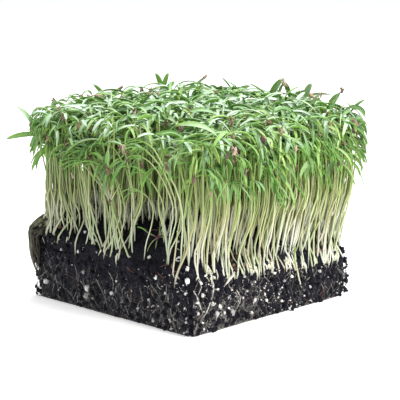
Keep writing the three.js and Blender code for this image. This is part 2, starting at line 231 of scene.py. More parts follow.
def soil_height(x, y):
    """The soil's top surface: gently uneven, and worn away towards the sides."""
    edge = BLOCK_HALF - max(abs(x), abs(y))
    worn = max(0, 1 - edge / SHOULDER_WIDTH)
    drop = SHOULDER_DROP * (1 + (SHOULDER_SKEW * (x + y)) / (2 * BLOCK_HALF))
    swell = 1.1 * math.sin(0.13 * x + 0.6) * math.cos(0.11 * y - 0.4)
    ripple = 0.6 * math.sin(0.41 * x - 0.33 * y)
    return SOIL_TOP - drop * worn * worn + swell + ripple


def side_bulge(angle, z):
    """How far a side bulges at an angle round the block and a height up it."""
    return 0.5 * math.sin(7 * angle + 0.21 * z) * math.sin(0.13 * z + 0.4)


def on_side(side, along, z, out=0.0):
    """The point on a side of the block, `along` it from its middle. Sides count from +X round to +Y."""
    angle = math.atan2(along, BLOCK_HALF) + (side * math.pi) / 2
    return Vector((*quarter_turned(BLOCK_HALF + side_bulge(angle, z) + out, along, side), z))


def outward(side):
    """The direction that a side faces."""
    return level(side * math.pi / 2)


def side_height(side, along):
    """How high a side stands there, up to where its top has crumbled to."""
    edge = on_side(side, along, 0)
    return soil_height(edge.x, edge.y)


# ---- The sowing ----


def uneven_rows(draw, rows, pitch, jitter):
    """Rows of points round the middle, each a little off its place."""
    middle, points = (rows - 1) / 2, []
    for row in range(rows):
        for column in range(rows):
            x = (column - middle) * pitch + draw(-jitter, jitter)
            y = (row - middle) * pitch + draw(-jitter, jitter)
            points.append((x, y))
    return points


CENTRES = uneven_rows(seeded_draw(CELL_SEED), TUFT_ROWS, TUFT_PITCH, TUFT_JITTER)


def cell_walls(cell):
    """The walls between a tuft's cell and the others, as (nx, ny, at): inside is where n . p < at."""
    home = CENTRES[cell]
    walls = []
    for other in CENTRES:
        if other != home:
            to_x, to_y = other[0] - home[0], other[1] - home[1]
            length = math.hypot(to_x, to_y)
            nx, ny = to_x / length, to_y / length
            walls.append((nx, ny, nx * home[0] + ny * home[1] + length / 2))
    return walls


WALLS = [cell_walls(cell) for cell in range(len(CENTRES))]
RIM_WALLS = [
    (
        math.cos(k * math.pi / 4),
        math.sin(k * math.pi / 4),
        CANOPY_HALF * math.sqrt(2) * CANOPY_CORNER if k % 2 else CANOPY_HALF,
    )
    for k in range(8)
]


def spread_at(lean):
    return 1 + (CANOPY_SPREAD - 1) * lean


def leant(point, lean=1):
    """Where a point of the sowing has moved to, once its stem has leant by a share of all its lean."""
    return [c * spread_at(lean) + CANOPY_SHIFT * lean for c in point]


def clearance(cell, x, y, lean):
    """How far a point is inside its cell's walls."""
    dx, dy = x - CANOPY_SHIFT * lean, y - CANOPY_SHIFT * lean
    return min(at * spread_at(lean) - nx * dx - ny * dy for nx, ny, at in WALLS[cell])


def pull_in(cell, x, y, lean, margin):
    """Moves a point towards its cell's centre until it is a margin inside the walls."""
    cx, cy = leant(CENTRES[cell], lean)
    here = clearance(cell, x, y, lean)
    if here >= margin:
        return x, y
    share = (margin - here) / (clearance(cell, cx, cy, lean) - here)
    return x + share * (cx - x), y + share * (cy - y)


def reach(cell, x, y, dx, dy, margin):
    """How far a blade can run before it is a margin short of its cell's walls."""
    px, py = x - CANOPY_SHIFT, y - CANOPY_SHIFT
    far = FARTHEST
    walls = [(nx, ny, at * CANOPY_SPREAD - margin) for nx, ny, at in WALLS[cell]]
    for nx, ny, at in walls + RIM_WALLS:
        speed = nx * dx + ny * dy
        if speed > 1e-6:
            far = min(far, (at - nx * px - ny * py) / speed)
    return far


def nearest_centre(x, y):
    distances = [math.hypot(cx - x, cy - y) for cx, cy in CENTRES]
    return distances.index(min(distances))


def neck_height(x, y):
    out = math.hypot(x - CANOPY_SHIFT, y - CANOPY_SHIFT) / CANOPY_HALF
    return NECK_HEIGHT + NECK_DOME * max(0, 1 - out * out) + NECK_TILT * (y - x)


class Stem:
    """A stem's line: straight up to where it has leant all the way, then on to its neck."""

    def __init__(self, cell, start, bend, neck):
        self.cell, self.start, self.bend, self.neck = cell, start, bend, neck
        self.foot = self.axis_at(SOIL_TOP)
        for _ in range(8):
            self.foot = self.axis_at(soil_height(self.foot[0], self.foot[1]))

    def axis_at(self, z):
        share = (z - LEAN_FOOT) / (LEAN_TOP - LEAN_FOOT)
        return [a + (b - a) * share for a, b in zip(self.start, self.bend)]

    def curve(self):
        """The points that the fine stem runs through."""
        foot_z = self.foot[2]
        below, knee = self.axis_at(foot_z - 3), self.axis_at((foot_z + LEAN_TOP) / 2)
        return [Vector(p) for p in (below, knee, self.bend, self.neck)]


def sown_stem(draw, x, y, shorter):
    """A main stem, which keeps inside its cell all the way up."""
    cell = nearest_centre(x, y)
    x, y = pull_in(cell, x, y, 0, STEM_MARGIN)
    over = leant((x, y))
    bend = pull_in(cell, *(c + draw(-STEM_BOW, STEM_BOW) for c in over), 1, STEM_MARGIN)
    neck = pull_in(cell, *(c + draw(-NECK_WAVER, NECK_WAVER) for c in over), 1, NECK_MARGIN)
    height = neck_height(*neck) - draw(0, shorter)
    return Stem(cell, [x, y, LEAN_FOOT], [*bend, LEAN_TOP], [*neck, height])


def main_stems():
    """The stems that the solids have too."""
    draw = seeded_draw(STEM_SEED)
    spots = []
    step = 2 * RIM_REACH / RIM_COUNT
    for side in range(4):
        for k in range(RIM_COUNT):
            x = RIM_OUTER - draw(0, RIM_BAND)
            y = -RIM_REACH + step * (k + 0.5) + draw(-0.5, 0.5) * step
            spots.append((*quarter_turned(x, y, side), RIM_SHORTER[side]))
    for x, y in uneven_rows(draw, INNER_ROWS, INNER_PITCH, SOWING_JITTER):
        spots.append((x, y, INNER_SHORTER))
    return [sown_stem(draw, *spot) for spot in spots]


# ---- The seed leaves ----


class Leaf:
    """A seed leaf's curve: it sets off at one pitch and ends at another, and may turn and twist."""

    def __init__(self, heading, arc, first, last, roll, turn=0.0, twist=0.0, half=1.6):
        self.heading, self.arc, self.first, self.last = heading, arc, first, last
        self.roll, self.turn, self.twist, self.half = roll, turn, twist, half

    def frames(self, neck):
        """The middle, the sideways and the upward direction at each of its stations."""
        middle, frames = Vector(neck), []
        for station in range(LEAF_STEPS + 1):
            share = station / LEAF_STEPS
            pitch = self.first + (self.last - self.first) * share
            heading = self.heading + self.turn * share
            ahead = level(heading) * math.cos(pitch)
            ahead.z = math.sin(pitch)
            side = Vector((-math.sin(heading), math.cos(heading), 0))
            up = ahead.cross(side)
            roll = self.roll + self.twist * share
            turned = side * math.cos(roll) + up * math.sin(roll)
            frames.append((middle.copy(), turned, ahead.cross(turned), ahead))
            middle += ahead * (self.arc / LEAF_STEPS)
        return frames


def sag(length, s):
    bend = LEAF_WIDEST * length
    return s * bend if s <= bend else bend * bend + (s - bend) * (length + bend)


def curved_leaf(rule, draw):
    """The fine leaf for one of the solids' leaves, given as (dx, dy, droop, length, rise, roll)."""
    dx, dy, droop, length, rise, roll = rule
    first, last = math.atan(rise), math.atan(rise - 2 * droop * length)
    shares = [(k + 0.5) / LEAF_STEPS for k in range(LEAF_STEPS)]
    mean = sum(math.cos(first + (last - first) * s) for s in shares) / LEAF_STEPS
    return Leaf(math.atan2(dy, dx), length / mean, first, last, roll * 0.6, half=draw(0.75, 1.25))


def fit_leaf(stem, dx, dy, longest, tip_margin):
    x, y = stem.neck[0], stem.neck[1]
    blade = reach(stem.cell, x, y, dx, dy, BLADE_MARGIN) / BLADE_SHARE
    return max(LEAF_STUB, min(longest, blade, reach(stem.cell, x, y, dx, dy, tip_margin)))


def crossing_leaf(stem, neighbour, draw):
    """The leaf that lies across an earlier neighbour's neck."""
    to_x, to_y = neighbour.neck[0] - stem.neck[0], neighbour.neck[1] - stem.neck[1]
    apart = math.hypot(to_x, to_y)
    dx, dy = to_x / apart, to_y / apart
    droop = draw(*CROSSING_DROOP)
    longest = max(apart + 2, draw(LEAF_SHORTEST, LEAF_LONGEST))
    length = max(apart + 1, fit_leaf(stem, dx, dy, longest, TIP_MARGIN))
    rise = (neighbour.neck[2] - stem.neck[2] + droop * sag(length, apart)) / apart
    return dx, dy, droop, length, rise, draw(-LEAF_ROLL, LEAF_ROLL)


def free_leaf(stem, other, draw, tip_margin):
    """A leaf that is free to point any way: the roomiest of several headings away from the other leaf."""
    longest = draw(LEAF_SHORTEST, LEAF_LONGEST)
    start = draw(0, 2 * math.pi)
    best = None
    for k in range(FREE_HEADINGS):
        angle = start + (2 * math.pi * k) / FREE_HEADINGS
        dx, dy = math.cos(angle), math.sin(angle)
        if other and dx * other[0] + dy * other[1] > NARROWEST_PAIR:
            continue
        length = fit_leaf(stem, dx, dy, longest, tip_margin)
        if best is None or length > best[2] + 0.5:
            best = (dx, dy, length)
    upright = draw(0, UPRIGHT_EVERY) < 1
    rise = draw(*(UPRIGHT_RISE if upright else LEAF_RISE))
    droop = draw(*(UPRIGHT_DROOP if upright else LEAF_DROOP))
    dx, dy, length = best
    return dx, dy, droop, length, rise, draw(-LEAF_ROLL, LEAF_ROLL)


class Seedling:
    """A stem's curve, its leaves, and which of them still hold a husk."""

    def __init__(self, curve, leaves, husks, radius, tint, across=(0, 1, 0)):
        self.curve, self.leaves, self.husks = curve, leaves, husks
        self.radius, self.tint, self.across = radius, tint, Vector(across)


def parted(stem):
    """A main stem's curve, with its foot pushed aside if it is in the front of the clearing."""
    curve = stem.curve()
    x, y = stem.foot[:2]
    if sparseness(x, y) > BARE and y < CLEARING_FRONT:
        aside = Vector((PUSHED_LEFT if x < CLEARING_MIDDLE else PUSHED_RIGHT, 0, 0))
        curve[0] += aside
        curve[1] += aside * 0.6
        curve[0].z = soil_height(curve[0].x, curve[0].y) - FOOT_DEPTH
    return curve


def main_tuft(stems, cell):
    """The seedlings of a cell that the solids have too."""
    draw = seeded_draw(TUFT_SEED + cell)
    looks = seeded_draw(LOOKS_SEED + cell)  # draws of its own, to keep the sowing's in the solids' order
    home = leant(CENTRES[cell])

    def apart(a, b):
        return math.hypot(a[0] - b[0], a[1] - b[1])

    waiting = sorted(stems, key=lambda stem: apart(stem.neck, home))
    grown, seedlings = [], []
    while waiting:
        if grown:
            waiting.sort(key=lambda stem: min(apart(stem.neck, other.neck) for other in grown))
        stem = waiting.pop(0)
        has_husk = draw(0, HUSK_EVERY) < 2
        if grown:
            nearest = min(grown, key=lambda other: apart(stem.neck, other.neck))
            step = STEEPEST_LINK * apart(stem.neck, nearest.neck)
            low, high = nearest.neck[2] - step, nearest.neck[2] + step
            stem.neck[2] = min(max(stem.neck[2], low), high)
            first = crossing_leaf(stem, nearest, draw)
        else:
            first = free_leaf(stem, None, draw, TIP_MARGIN)
        second = free_leaf(stem, first, draw, HUSK_MARGIN if has_husk else TIP_MARGIN)
        leaves = [curved_leaf(first, looks), curved_leaf(second, looks)]
        husks = [1] if has_husk else []
        seedlings.append(Seedling(parted(stem), leaves, husks, looks(*MAIN_RADIUS), looks(0, 1)))
        grown.append(stem)
    return seedlings


def off_middle(patch, x, y):
    """A point's place in a patch, in half widths from its middle."""
    return [(c - middle) / half for c, middle, half in zip((x, y), *patch)]


def sparseness(x, y):
    """How bare the sowing is, from 0 to 1: one side has a clearing and a stretch of thin growth."""
    clearing = 1 - sum(c**4 for c in off_middle(CLEARING, x, y)) ** 0.25
    thin = 1 - math.hypot(*off_middle(THIN_GROWTH, x, y))
    bare, thinned = CLEARING_EDGE * clearing, THIN_EDGE * thin
    return max(0, min(CLEARING_BARENESS, bare), min(THIN_BARENESS, thinned))


def past_rim(point):
    """How far a point is outside the room that loose leaves have round the canopy's rim."""
    x, y = point[0] - CANOPY_SHIFT, point[1] - CANOPY_SHIFT
    room = (ROOM_PAST_SIDES, ROOM_PAST_CORNERS)
    return max(nx * x + ny * y - at - room[k % 2] for k, (nx, ny, at) in enumerate(RIM_WALLS))


def loose_leaf(draw, heading, neck, hanging=False):
    """A leaf of an extra seedling, kept short enough to stay inside the canopy's rim."""
    first, fall = draw(*LOOSE_PITCH), draw(*LOOSE_FALL)
    if hanging:
        first, fall = draw(*HANGING_PITCH), draw(*HANGING_FALL)
    elif draw(0, RISING_EVERY) < 1:
        first, fall = draw(*RISING_PITCH), draw(*RISING_FALL)
    turn, twist = draw(-LOOSE_TURN, LOOSE_TURN), draw(-LOOSE_TWIST, LOOSE_TWIST)
    half = LOOSE_NARROWEST + (HANGING_WIDTH if hanging else 1) * draw(0.1, 1)
    arc, last = draw(*LOOSE_LENGTH), max(STEEPEST_END, first - fall)
    leaf = Leaf(heading, arc, first, last, draw(-LOOSE_ROLL, LOOSE_ROLL), turn, twist, half)
    highest = HIGHEST_TIP + draw(0, HIGHEST_SPREAD)
    while leaf.arc > LOOSE_SHORTEST:
        points = [frame[0] for frame in leaf.frames(neck)]
        if past_rim(points[-1]) <= 0 and max(point.z for point in points) <= highest:
            break
        leaf.arc *= 0.95
        leaf.last = max(STEEPEST_END, leaf.last - 0.12)
    return leaf


def nodding(draw, stem, heading):
    """Bends a stem's top over, and returns its curve, its two hanging leaves and its sideways."""
    neck = Vector(stem.neck)
    away = level(heading)
    top = neck + away * draw(0, 2) + Vector((0, 0, draw(0, 4)))
    end = top + away * draw(4, 8) - Vector((0, 0, draw(1, 7)))
    for _ in range(8):
        if past_rim(end) > -NODDING_INSIDE:
            end -= away
    curve = loose_curve(draw, stem)[:-1] + [top, end]
    leaves = [loose_leaf(draw, heading + draw(-0.7, 0.7), end, hanging=True) for _ in range(2)]
    return curve, leaves, (-away.y, away.x, 0)


def outward_heading(draw, x, y):
    """A heading out of the nearest side, or out of the corner near a corner."""
    far = max(abs(x), abs(y))
    px, py = (c if abs(c) > far - CORNER_TURN else 0 for c in (x, y))
    return math.atan2(py, px) + draw(-0.6, 0.6)


def loose_stem(draw, x, y, shorter):
    """The line of a stem that may lean across its neighbours, but stays inside the canopy's rim."""
    bend = [c + draw(-1, 1) * LOOSE_BOW for c in leant((x, y))]
    neck = [c + draw(-1, 1) * LOOSE_WAVER for c in bend]
    for point in (bend, neck):
        while past_rim(point) > -LOOSE_INSIDE:
            point[:] = [c - 0.03 * (c - CANOPY_SHIFT) for c in point]
    height = neck_height(*neck) - draw(0, shorter)
    return Stem(nearest_centre(x, y), [x, y, LEAN_FOOT], [*bend, LEAN_TOP], [*neck, height])


def nearest_side(x, y):
    return max(range(4), key=lambda side: (x, y, -x, -y)[side])


def loose_curve(draw, stem):
    """The points that a loose stem runs through: its foot curls out of the soil, and it sways."""
    x, y = (max(-SOWN_HALF, min(SOWN_HALF, c + draw(-FOOT_CURL, FOOT_CURL))) for c in stem.foot[:2])
    feet = [Vector((x, y, soil_height(x, y) - FOOT_DEPTH))]
    side = nearest_side(x, y)
    outer = BLOCK_HALF - max(abs(x), abs(y)) < DRAPED_BELT
    if outer and draw(0, 1) < DRAPED_SHARE[side]:
        along = (y, -x, -y, x)[side]
        edge = side_height(side, along)
        low = edge - draw(0.2, 1) * draw(0, DRAPE[side])
        feet = [on_side(side, along + draw(-2.5, 2.5), low, 0.4), on_side(side, along, edge + 2, 0.1)]
    low, swayed = feet[-1].z + STRAIGHT_FOOT, []
    for x, y, z in (stem.axis_at(low), stem.axis_at((low + LEAN_TOP) / 2)):
        swayed.append(Vector((x + draw(-SWAY, SWAY), y + draw(-SWAY, SWAY), z)))
    return feet + swayed + [Vector(stem.bend), Vector(stem.neck)]


def extra_seedlings(stems, count):
    """The many seedlings between the main ones, as {cell: [seedlings]}."""
    draw = seeded_draw(EXTRA_SEED)
    feet = [(stem.foot[0], stem.foot[1]) for stem in stems]
    tufts = {cell: [] for cell in range(len(CENTRES))}
    made = 0
    while made < count:
        x, y = draw(-SOWN_HALF, SOWN_HALF), draw(-SOWN_HALF, SOWN_HALF)
        if draw(0, 1) < CORNER_SHARE:
            x, y = (math.copysign(SOWN_HALF - draw(0, CORNER_SIZE), x) for _ in range(2))
        in_belt = SOWN_HALF - max(abs(x), abs(y)) < RIM_BELT
        wanted = 1 if in_belt or abs(x + y) > THICK_CORNERS else INNER_SHARE
        if draw(0, 1) > wanted * (1 - sparseness(x, y)):
            continue
        side = nearest_side(x, y)
        stem = loose_stem(draw, x, y, EXTRA_SHORTER[side] if in_belt else INNER_EXTRA_SHORTER)
        if any(math.hypot(stem.foot[0] - fx, stem.foot[1] - fy) < FEET_APART for fx, fy in feet):
            continue
        feet.append((stem.foot[0], stem.foot[1]))
        across, husky = (0, 1, 0), HUSK_SHARE
        nods = NODDING_SHARE if x > FEWER_NOD else FEWER_NODDING * NODDING_SHARE
        if in_belt and draw(0, 1) < nods and x + y > NODDING_FROM:
            curve, leaves, across = nodding(draw, stem, outward_heading(draw, x, y))
            husky = NODDING_HUSK_SHARE
        else:
            heading = draw(0, 2 * math.pi)
            opposite = heading + math.pi + draw(-1.0, 1.0)
            leaves = [loose_leaf(draw, heading, stem.neck), loose_leaf(draw, opposite, stem.neck)]
            curve = loose_curve(draw, stem)
        tip = leaves[0].frames(curve[-1])[-1][0]
        husks = [0] if draw(0, 1) < husky and tip.z > LOWEST_HUSK else []
        seedling = Seedling(curve, leaves, husks, draw(*LOOSE_RADIUS), draw(0, 1), across)
        tufts[stem.cell].append(seedling)
        made += 1
    return tufts


# ---- Shapes that are copied many times ----


def mesh_from(bm, name):
    for face in bm.faces:
        face.smooth = True
    mesh = bpy.data.meshes.new(name)
    bm.to_mesh(mesh)
    bm.free()
    return mesh


def leaf_shape():
    """A flat leaf: X across from -1 to 1, Y along from 0 to 1, and Z -1 below and 1 above."""
    bm = bmesh.new()
    bmesh.ops.create_grid(bm, x_segments=2, y_segments=LEAF_STEPS, size=1)
    bmesh.ops.translate(bm, verts=bm.verts, vec=(0, 1, -1))
    bmesh.ops.scale(bm, verts=bm.verts, vec=(1, 0.5, 1))
    grown = bmesh.ops.extrude_face_region(bm, geom=bm.faces[:], use_keep_orig=True)
    above = [g for g in grown["geom"] if isinstance(g, bmesh.types.BMVert)]
    bmesh.ops.translate(bm, verts=above, vec=(0, 0, 2))
    tip = [vert for vert in bm.verts if vert.co.y > 0.99]
    bmesh.ops.pointmerge(bm, verts=tip, merge_co=(0, 1, 0))
    bmesh.ops.recalc_face_normals(bm, faces=bm.faces)
    for edge in bm.edges:
        edge.smooth = edge.calc_face_angle() < math.radians(50)
    return mesh_from(bm, "leaf_shape")


def tube_shape(sides, steps, name):
    """A straight tube of radius 1 along Y, from 0 to 1."""
    bm = bmesh.new()
    bmesh.ops.create_cone(bm, cap_ends=True, segments=sides, radius1=1, radius2=1, depth=1)
    walls = [edge for edge in bm.edges if abs(edge.verts[0].co.z - edge.verts[1].co.z) > 0.5]
    bmesh.ops.subdivide_edges(bm, edges=walls, cuts=steps - 1)
    bmesh.ops.rotate(bm, verts=bm.verts, matrix=Matrix.Rotation(-math.pi / 2, 3, "X"))
    bmesh.ops.translate(bm, verts=bm.verts, vec=(0, 0.5, 0))
    return mesh_from(bm, name)


def husk_shape():
    """A flake of husk along Y, from -1 to 1, with a fold down one side."""
    bm = bmesh.new()
    bmesh.ops.create_uvsphere(bm, u_segments=8, v_segments=6, radius=1)
    for vert in bm.verts:
        angle = math.atan2(vert.co.y, vert.co.x)
        rib = 1 - (0.5 if abs(angle) < 0.1 else 0)
        vert.co.x *= rib
        vert.co.y *= rib
    bmesh.ops.rotate(bm, verts=bm.verts, matrix=Matrix.Rotation(-math.pi / 2, 3, "X"))
    return mesh_from(bm, "husk_shape")


def grain_shape(subdivisions, name):
    bm = bmesh.new()
    bmesh.ops.create_icosphere(bm, subdivisions=subdivisions, radius=1)
    return mesh_from(bm, name)


def new_mesh():
    """An empty mesh whose points remember their place on the copied shape, and the copy's tint."""
    bm = bmesh.new()
    bm.verts.layers.float_vector.new("spot")
    bm.verts.layers.float.new("tint")
    return bm


def add_copy(bm, shape, place, tint, material=STEM_SLOT):
    """Adds a copy of a shape to a mesh, with each of its points moved by place()."""
    first_vert, first_face = len(bm.verts), len(bm.faces)
    bm.from_mesh(shape)
    bm.verts.ensure_lookup_table()
    bm.faces.ensure_lookup_table()
    spot, tints = bm.verts.layers.float_vector["spot"], bm.verts.layers.float["tint"]
    for vert in bm.verts[first_vert:]:
        vert[spot] = vert.co
        vert[tints] = tint
        vert.co = place(vert.co)
    for face in bm.faces[first_face:]:
        face.material_index = material


def add_object(name, data):
    thing = bpy.data.objects.new(name, data)
    bpy.context.scene.collection.objects.link(thing)
    return thing


def finish_piece(name, bm, materials, replaced=()):
    """Makes a piece from a mesh in millimetres, on the object's one body."""
    for vert in bm.verts:
        vert.co.z = max(0, vert.co.z)
    bmesh.ops.scale(bm, verts=bm.verts, vec=(MM, MM, MM))
    mesh = bpy.data.meshes.new(name)
    bm.to_mesh(mesh)
    bm.free()
    for material in materials:
        mesh.materials.append(material)
    piece = add_object(name, mesh)
    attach(piece, BODY)
    if replaced:
        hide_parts(*replaced)


def on_curve(points, share):
    """The place and direction on a smooth curve through the points."""
    spans = len(points) - 1
    span = min(int(share * spans), spans - 1)
    t = share * spans - span
    b, c = points[span], points[span + 1]
    a = points[span - 1] if span > 0 else b * 2 - c
    d = points[span + 2] if span + 2 <= spans else c * 2 - b
    place = b + (c - a) * (t / 2) + (a * 2 - b * 5 + c * 4 - d) * (t * t / 2)
    place += (b * 3 - a - c * 3 + d) * (t**3 / 2)
    ahead = (c - a) / 2 + (a * 2 - b * 5 + c * 4 - d) * t + (b * 3 - a - c * 3 + d) * (1.5 * t * t)
    return place, ahead.normalized()


def add_tube(bm, shape, steps, points, across, radius_at, tint):
    """Adds a copy of a straight tube, bent along a smooth curve."""
    rings = []
    for step in range(steps + 1):
        middle, ahead = on_curve(points, step / steps)
        side = (across - ahead * across.dot(ahead)).normalized()
        rings.append((middle, side, ahead.cross(side), radius_at(step / steps)))

    def place(co):
        middle, side, up, radius = rings[round(co.y * steps)]
        return middle + side * (co.x * radius) + up * (co.z * radius)

    add_copy(bm, shape, place, tint)


STALK_WIDTH, STALK_END, WIDENING = 0.28, 0.06, 0.42  # shares of the blade's width and of its length
TAPER_FROM, TAPER = 0.55, 0.45
LEAF_FOLD = 0.34


def add_leaf(bm, shape, leaf, neck, thickness, tint):
    """Adds a leaf whose blade widens from a narrow stalk, and returns the frame at its tip."""
    frames = leaf.frames(neck)

    def place(co):
        middle, side, up, _ = frames[round(co.y * LEAF_STEPS)]
        share = co.y
        grown = min(1, max(0, (share - STALK_END) / WIDENING))
        blade = STALK_WIDTH + (1 - STALK_WIDTH) * grown * grown * (3 - 2 * grown)
        half = leaf.half * blade * (1 - max(0, (share - TAPER_FROM) / TAPER) ** 2) ** 0.8
        thick = thickness * (1 + 0.8 * (1 - share) ** 3)
        lift = LEAF_FOLD * abs(co.x) * half + co.z * thick / 2
        return middle + side * (co.x * half) + up * lift

    add_copy(bm, shape, place, tint, LEAF_SLOT)
    return frames[-1]


FLAKE_LENGTH, FLAKE_WIDTH, FLAKE_THICKNESS = (1.0, 2.9), (0.35, 1.05), (0.2, 0.7)


def add_husk(bm, shape, end, draw, flakes=3.9, palest=1.0):
    """Adds a torn husk round a leaf's tip: a few ragged flakes that do not quite line up."""
    middle, side, up, ahead = end
    shade = draw(0, palest)
    for flake in range(int(flakes + draw(-1.2, 1.2))):
        turned = (ahead + side * draw(-0.8, 0.8) + up * draw(-0.8, 0.8)).normalized()
        across = turned.cross(up if flake % 2 else side).normalized()
        size = (draw(*FLAKE_LENGTH), draw(*FLAKE_WIDTH))
        centre = middle - ahead * draw(-0.6, 2.2) + across * draw(-0.9, 0.9)
        add_flake(bm, shape, centre, (turned, across), size, draw, shade)


def add_flake(bm, shape, centre, axes, size, draw, shade):
    (turned, across), (length, width) = axes, size
    out = turned.cross(across)
    thin, curl, seed = draw(*FLAKE_THICKNESS), draw(-0.5, 0.5), Vector((draw(0, 50), draw(0, 50), 0))

    def place(co):
        ragged = width * (1 + 1.3 * noise.noise(co * 2.1 + seed))
        lift = co.z * ragged * thin + curl * co.y * co.y
        return centre + turned * (co.y * length) + across * (co.x * ragged) + out * lift

    add_copy(bm, shape, place, min(1, max(0, shade + draw(-0.3, 0.3))), HUSK_SLOT)


# ---- Materials ----


class Nodes:
    """A material's nodes, with a short call for each kind that is used here."""

    def __init__(self, name):
        self.material = bpy.data.materials.new(name)
        self.material.use_nodes = True
        self.tree = self.material.node_tree
        self.shader = self.tree.nodes["Principled BSDF"]

    def add(self, kind, inputs=(), **settings):
        node = self.tree.nodes.new(kind)
        for key, value in settings.items():
            setattr(node, key, value)
        for key, value in dict(inputs).items():
            self.put(node.inputs[key], value)
        return node

    def put(self, socket, value):
        if isinstance(value, bpy.types.NodeSocket):
            self.tree.links.new(value, socket)
        else:
            socket.default_value = value

    def parts(self, vector):
        return self.add("ShaderNodeSeparateXYZ", {0: vector}).outputs

    def tint(self):
        return self.add("ShaderNodeAttribute", attribute_name="tint").outputs["Fac"]

    def spot(self):
        """Where a point was on the copied shape, in three parts."""
        return self.parts(self.add("ShaderNodeAttribute", attribute_name="spot").outputs["Vector"])

    def place(self, stretch=(1, 1, 1)):
        coordinates = self.add("ShaderNodeTexCoord").outputs["Object"]
        mapping = self.add("ShaderNodeMapping", {"Vector": coordinates, "Scale": stretch})
        return mapping.outputs["Vector"]

    def noise(self, vector, scale, detail=3.0, roughness=0.55):
        inputs = {"Vector": vector, "Scale": scale, "Detail": detail, "Roughness": roughness}
        return self.add("ShaderNodeTexNoise", inputs).outputs["Fac"]

    def ramp(self, value, stops):
        node = self.add("ShaderNodeValToRGB", {"Fac": value})
        elements = node.color_ramp.elements
        while len(elements) < len(stops):
            elements.new(0.5)
        for element, (position, colour) in zip(elements, stops):
            element.position = position
            element.color = (*colour, 1)
        return node.outputs["Color"]

    def range(self, value, low, high, to_low, to_high):
        inputs = {0: value, 1: low, 2: high, 3: to_low, 4: to_high}
        return self.add("ShaderNodeMapRange", inputs).outputs[0]

    def math(self, operation, a, b=0.0):
        return self.add("ShaderNodeMath", {0: a, 1: b}, operation=operation).outputs[0]

    def mix(self, share, a, b):
        node = self.add("ShaderNodeMix", {0: share}, data_type="RGBA")
        for socket, colour in ((node.inputs[6], a), (node.inputs[7], b)):
            self.put(socket, colour if isinstance(colour, bpy.types.NodeSocket) else (*colour, 1))
        return node.outputs[2]

    def lay(self, body, colour, value, low, high, least, most):
        """Lays a colour over the body, from its least share to its most as a value goes from low to high."""
        return self.mix(self.range(value, low, high, least, most), body, colour)

    def own(self, tint, times):
        """A second random share for each copy, made from its tint."""
        return self.math("FRACT", self.math("MULTIPLY", tint, times))

    def bump(self, height, strength, distance):
        inputs = {"Height": height, "Strength": strength, "Distance": distance}
        self.put(self.shader.inputs["Normal"], self.add("ShaderNodeBump", inputs).outputs["Normal"])

    def finish(self, colour, roughness, shine=0.5):
        self.put(self.shader.inputs["Base Color"], colour)
        self.put(self.shader.inputs["Roughness"], roughness)
        self.put(self.shader.inputs["Specular IOR Level"], shine)
        return self.material


def leaf_material(finish):
    """Fresh seed leaves: each its own green, with a bluish bloom and a painted highlight on the faces that
    look up, less of both on the low leaves (painted shade), and painted shade towards +Y.
    """
    n = Nodes("seed_leaf")
    across, along, upper = n.spot()
    tint, mottle = n.tint(), n.noise(n.place(), 420, 4.0)
    deep, pale = finish.leaf_deep, finish.leaf_pale
    body = n.ramp(tint, [(0.0, deep), (0.55, finish.leaf_fresh), (0.96, pale), (1.0, (0.3, 0.44, 0.1))])
    body = n.lay(body, deep, mottle, 0.35, 0.7, 0.0, 0.5)
    body = n.lay(body, pale, n.math("ABSOLUTE", across), 0.0, 0.3, 0.4, 0.0)
    body = n.lay(body, finish.stem_top, along, 0.0, 0.25, 0.8, 0.0)
    facing, where = n.parts(n.add("ShaderNodeNewGeometry").outputs["Normal"]), n.parts(n.place())
    # Painted highlight: the faces that look up, where the light from above falls, take the bloom colour.
    painted_highlight_mask = n.range(facing[2], -0.05, 0.9, 0.0, 1.0)
    # Painted shade and light: less of it on the lower leaves, more on the highest.
    painted_highlight_mask = n.math("MULTIPLY", painted_highlight_mask, n.range(where[2], 0.085, 0.112, 0.35, 1.15))
    patches = n.math("ADD", n.range(n.own(tint, 23.0), 0.0, 1.0, -0.55, 0.6), n.noise(n.place(), 160, 3.0))
    bloom_and_highlight = n.math("MULTIPLY", painted_highlight_mask, n.range(patches, 0.1, 0.95, 0.12, 0.85))
    body = n.mix(bloom_and_highlight, body, finish.leaf_bloom_and_highlight)
    body = n.lay(body, (0.22, 0.4, 0.08), upper, 1.0, -1.0, 0.0, 0.3)
    body = n.lay(body, (0.36, 0.3, 0.12), along, 0.88, 1.0, 0.0, 0.4)
    # Painted shade: leaves darker and more olive towards +Y.
    body = n.lay(body, (0.06, 0.12, 0.03), where[1], 0.05, 0.078, 0.0, 0.6)
    veins = n.add("ShaderNodeCombineXYZ", {0: n.math("MULTIPLY", across, 6.0), 1: along})
    n.bump(n.math("ADD", n.noise(veins.outputs[0], 3.0, 2.0), mottle), 0.35, 0.00015)
    return n.finish(body, n.range(mottle, 0.3, 0.7, 0.45, 0.6), 0.32)


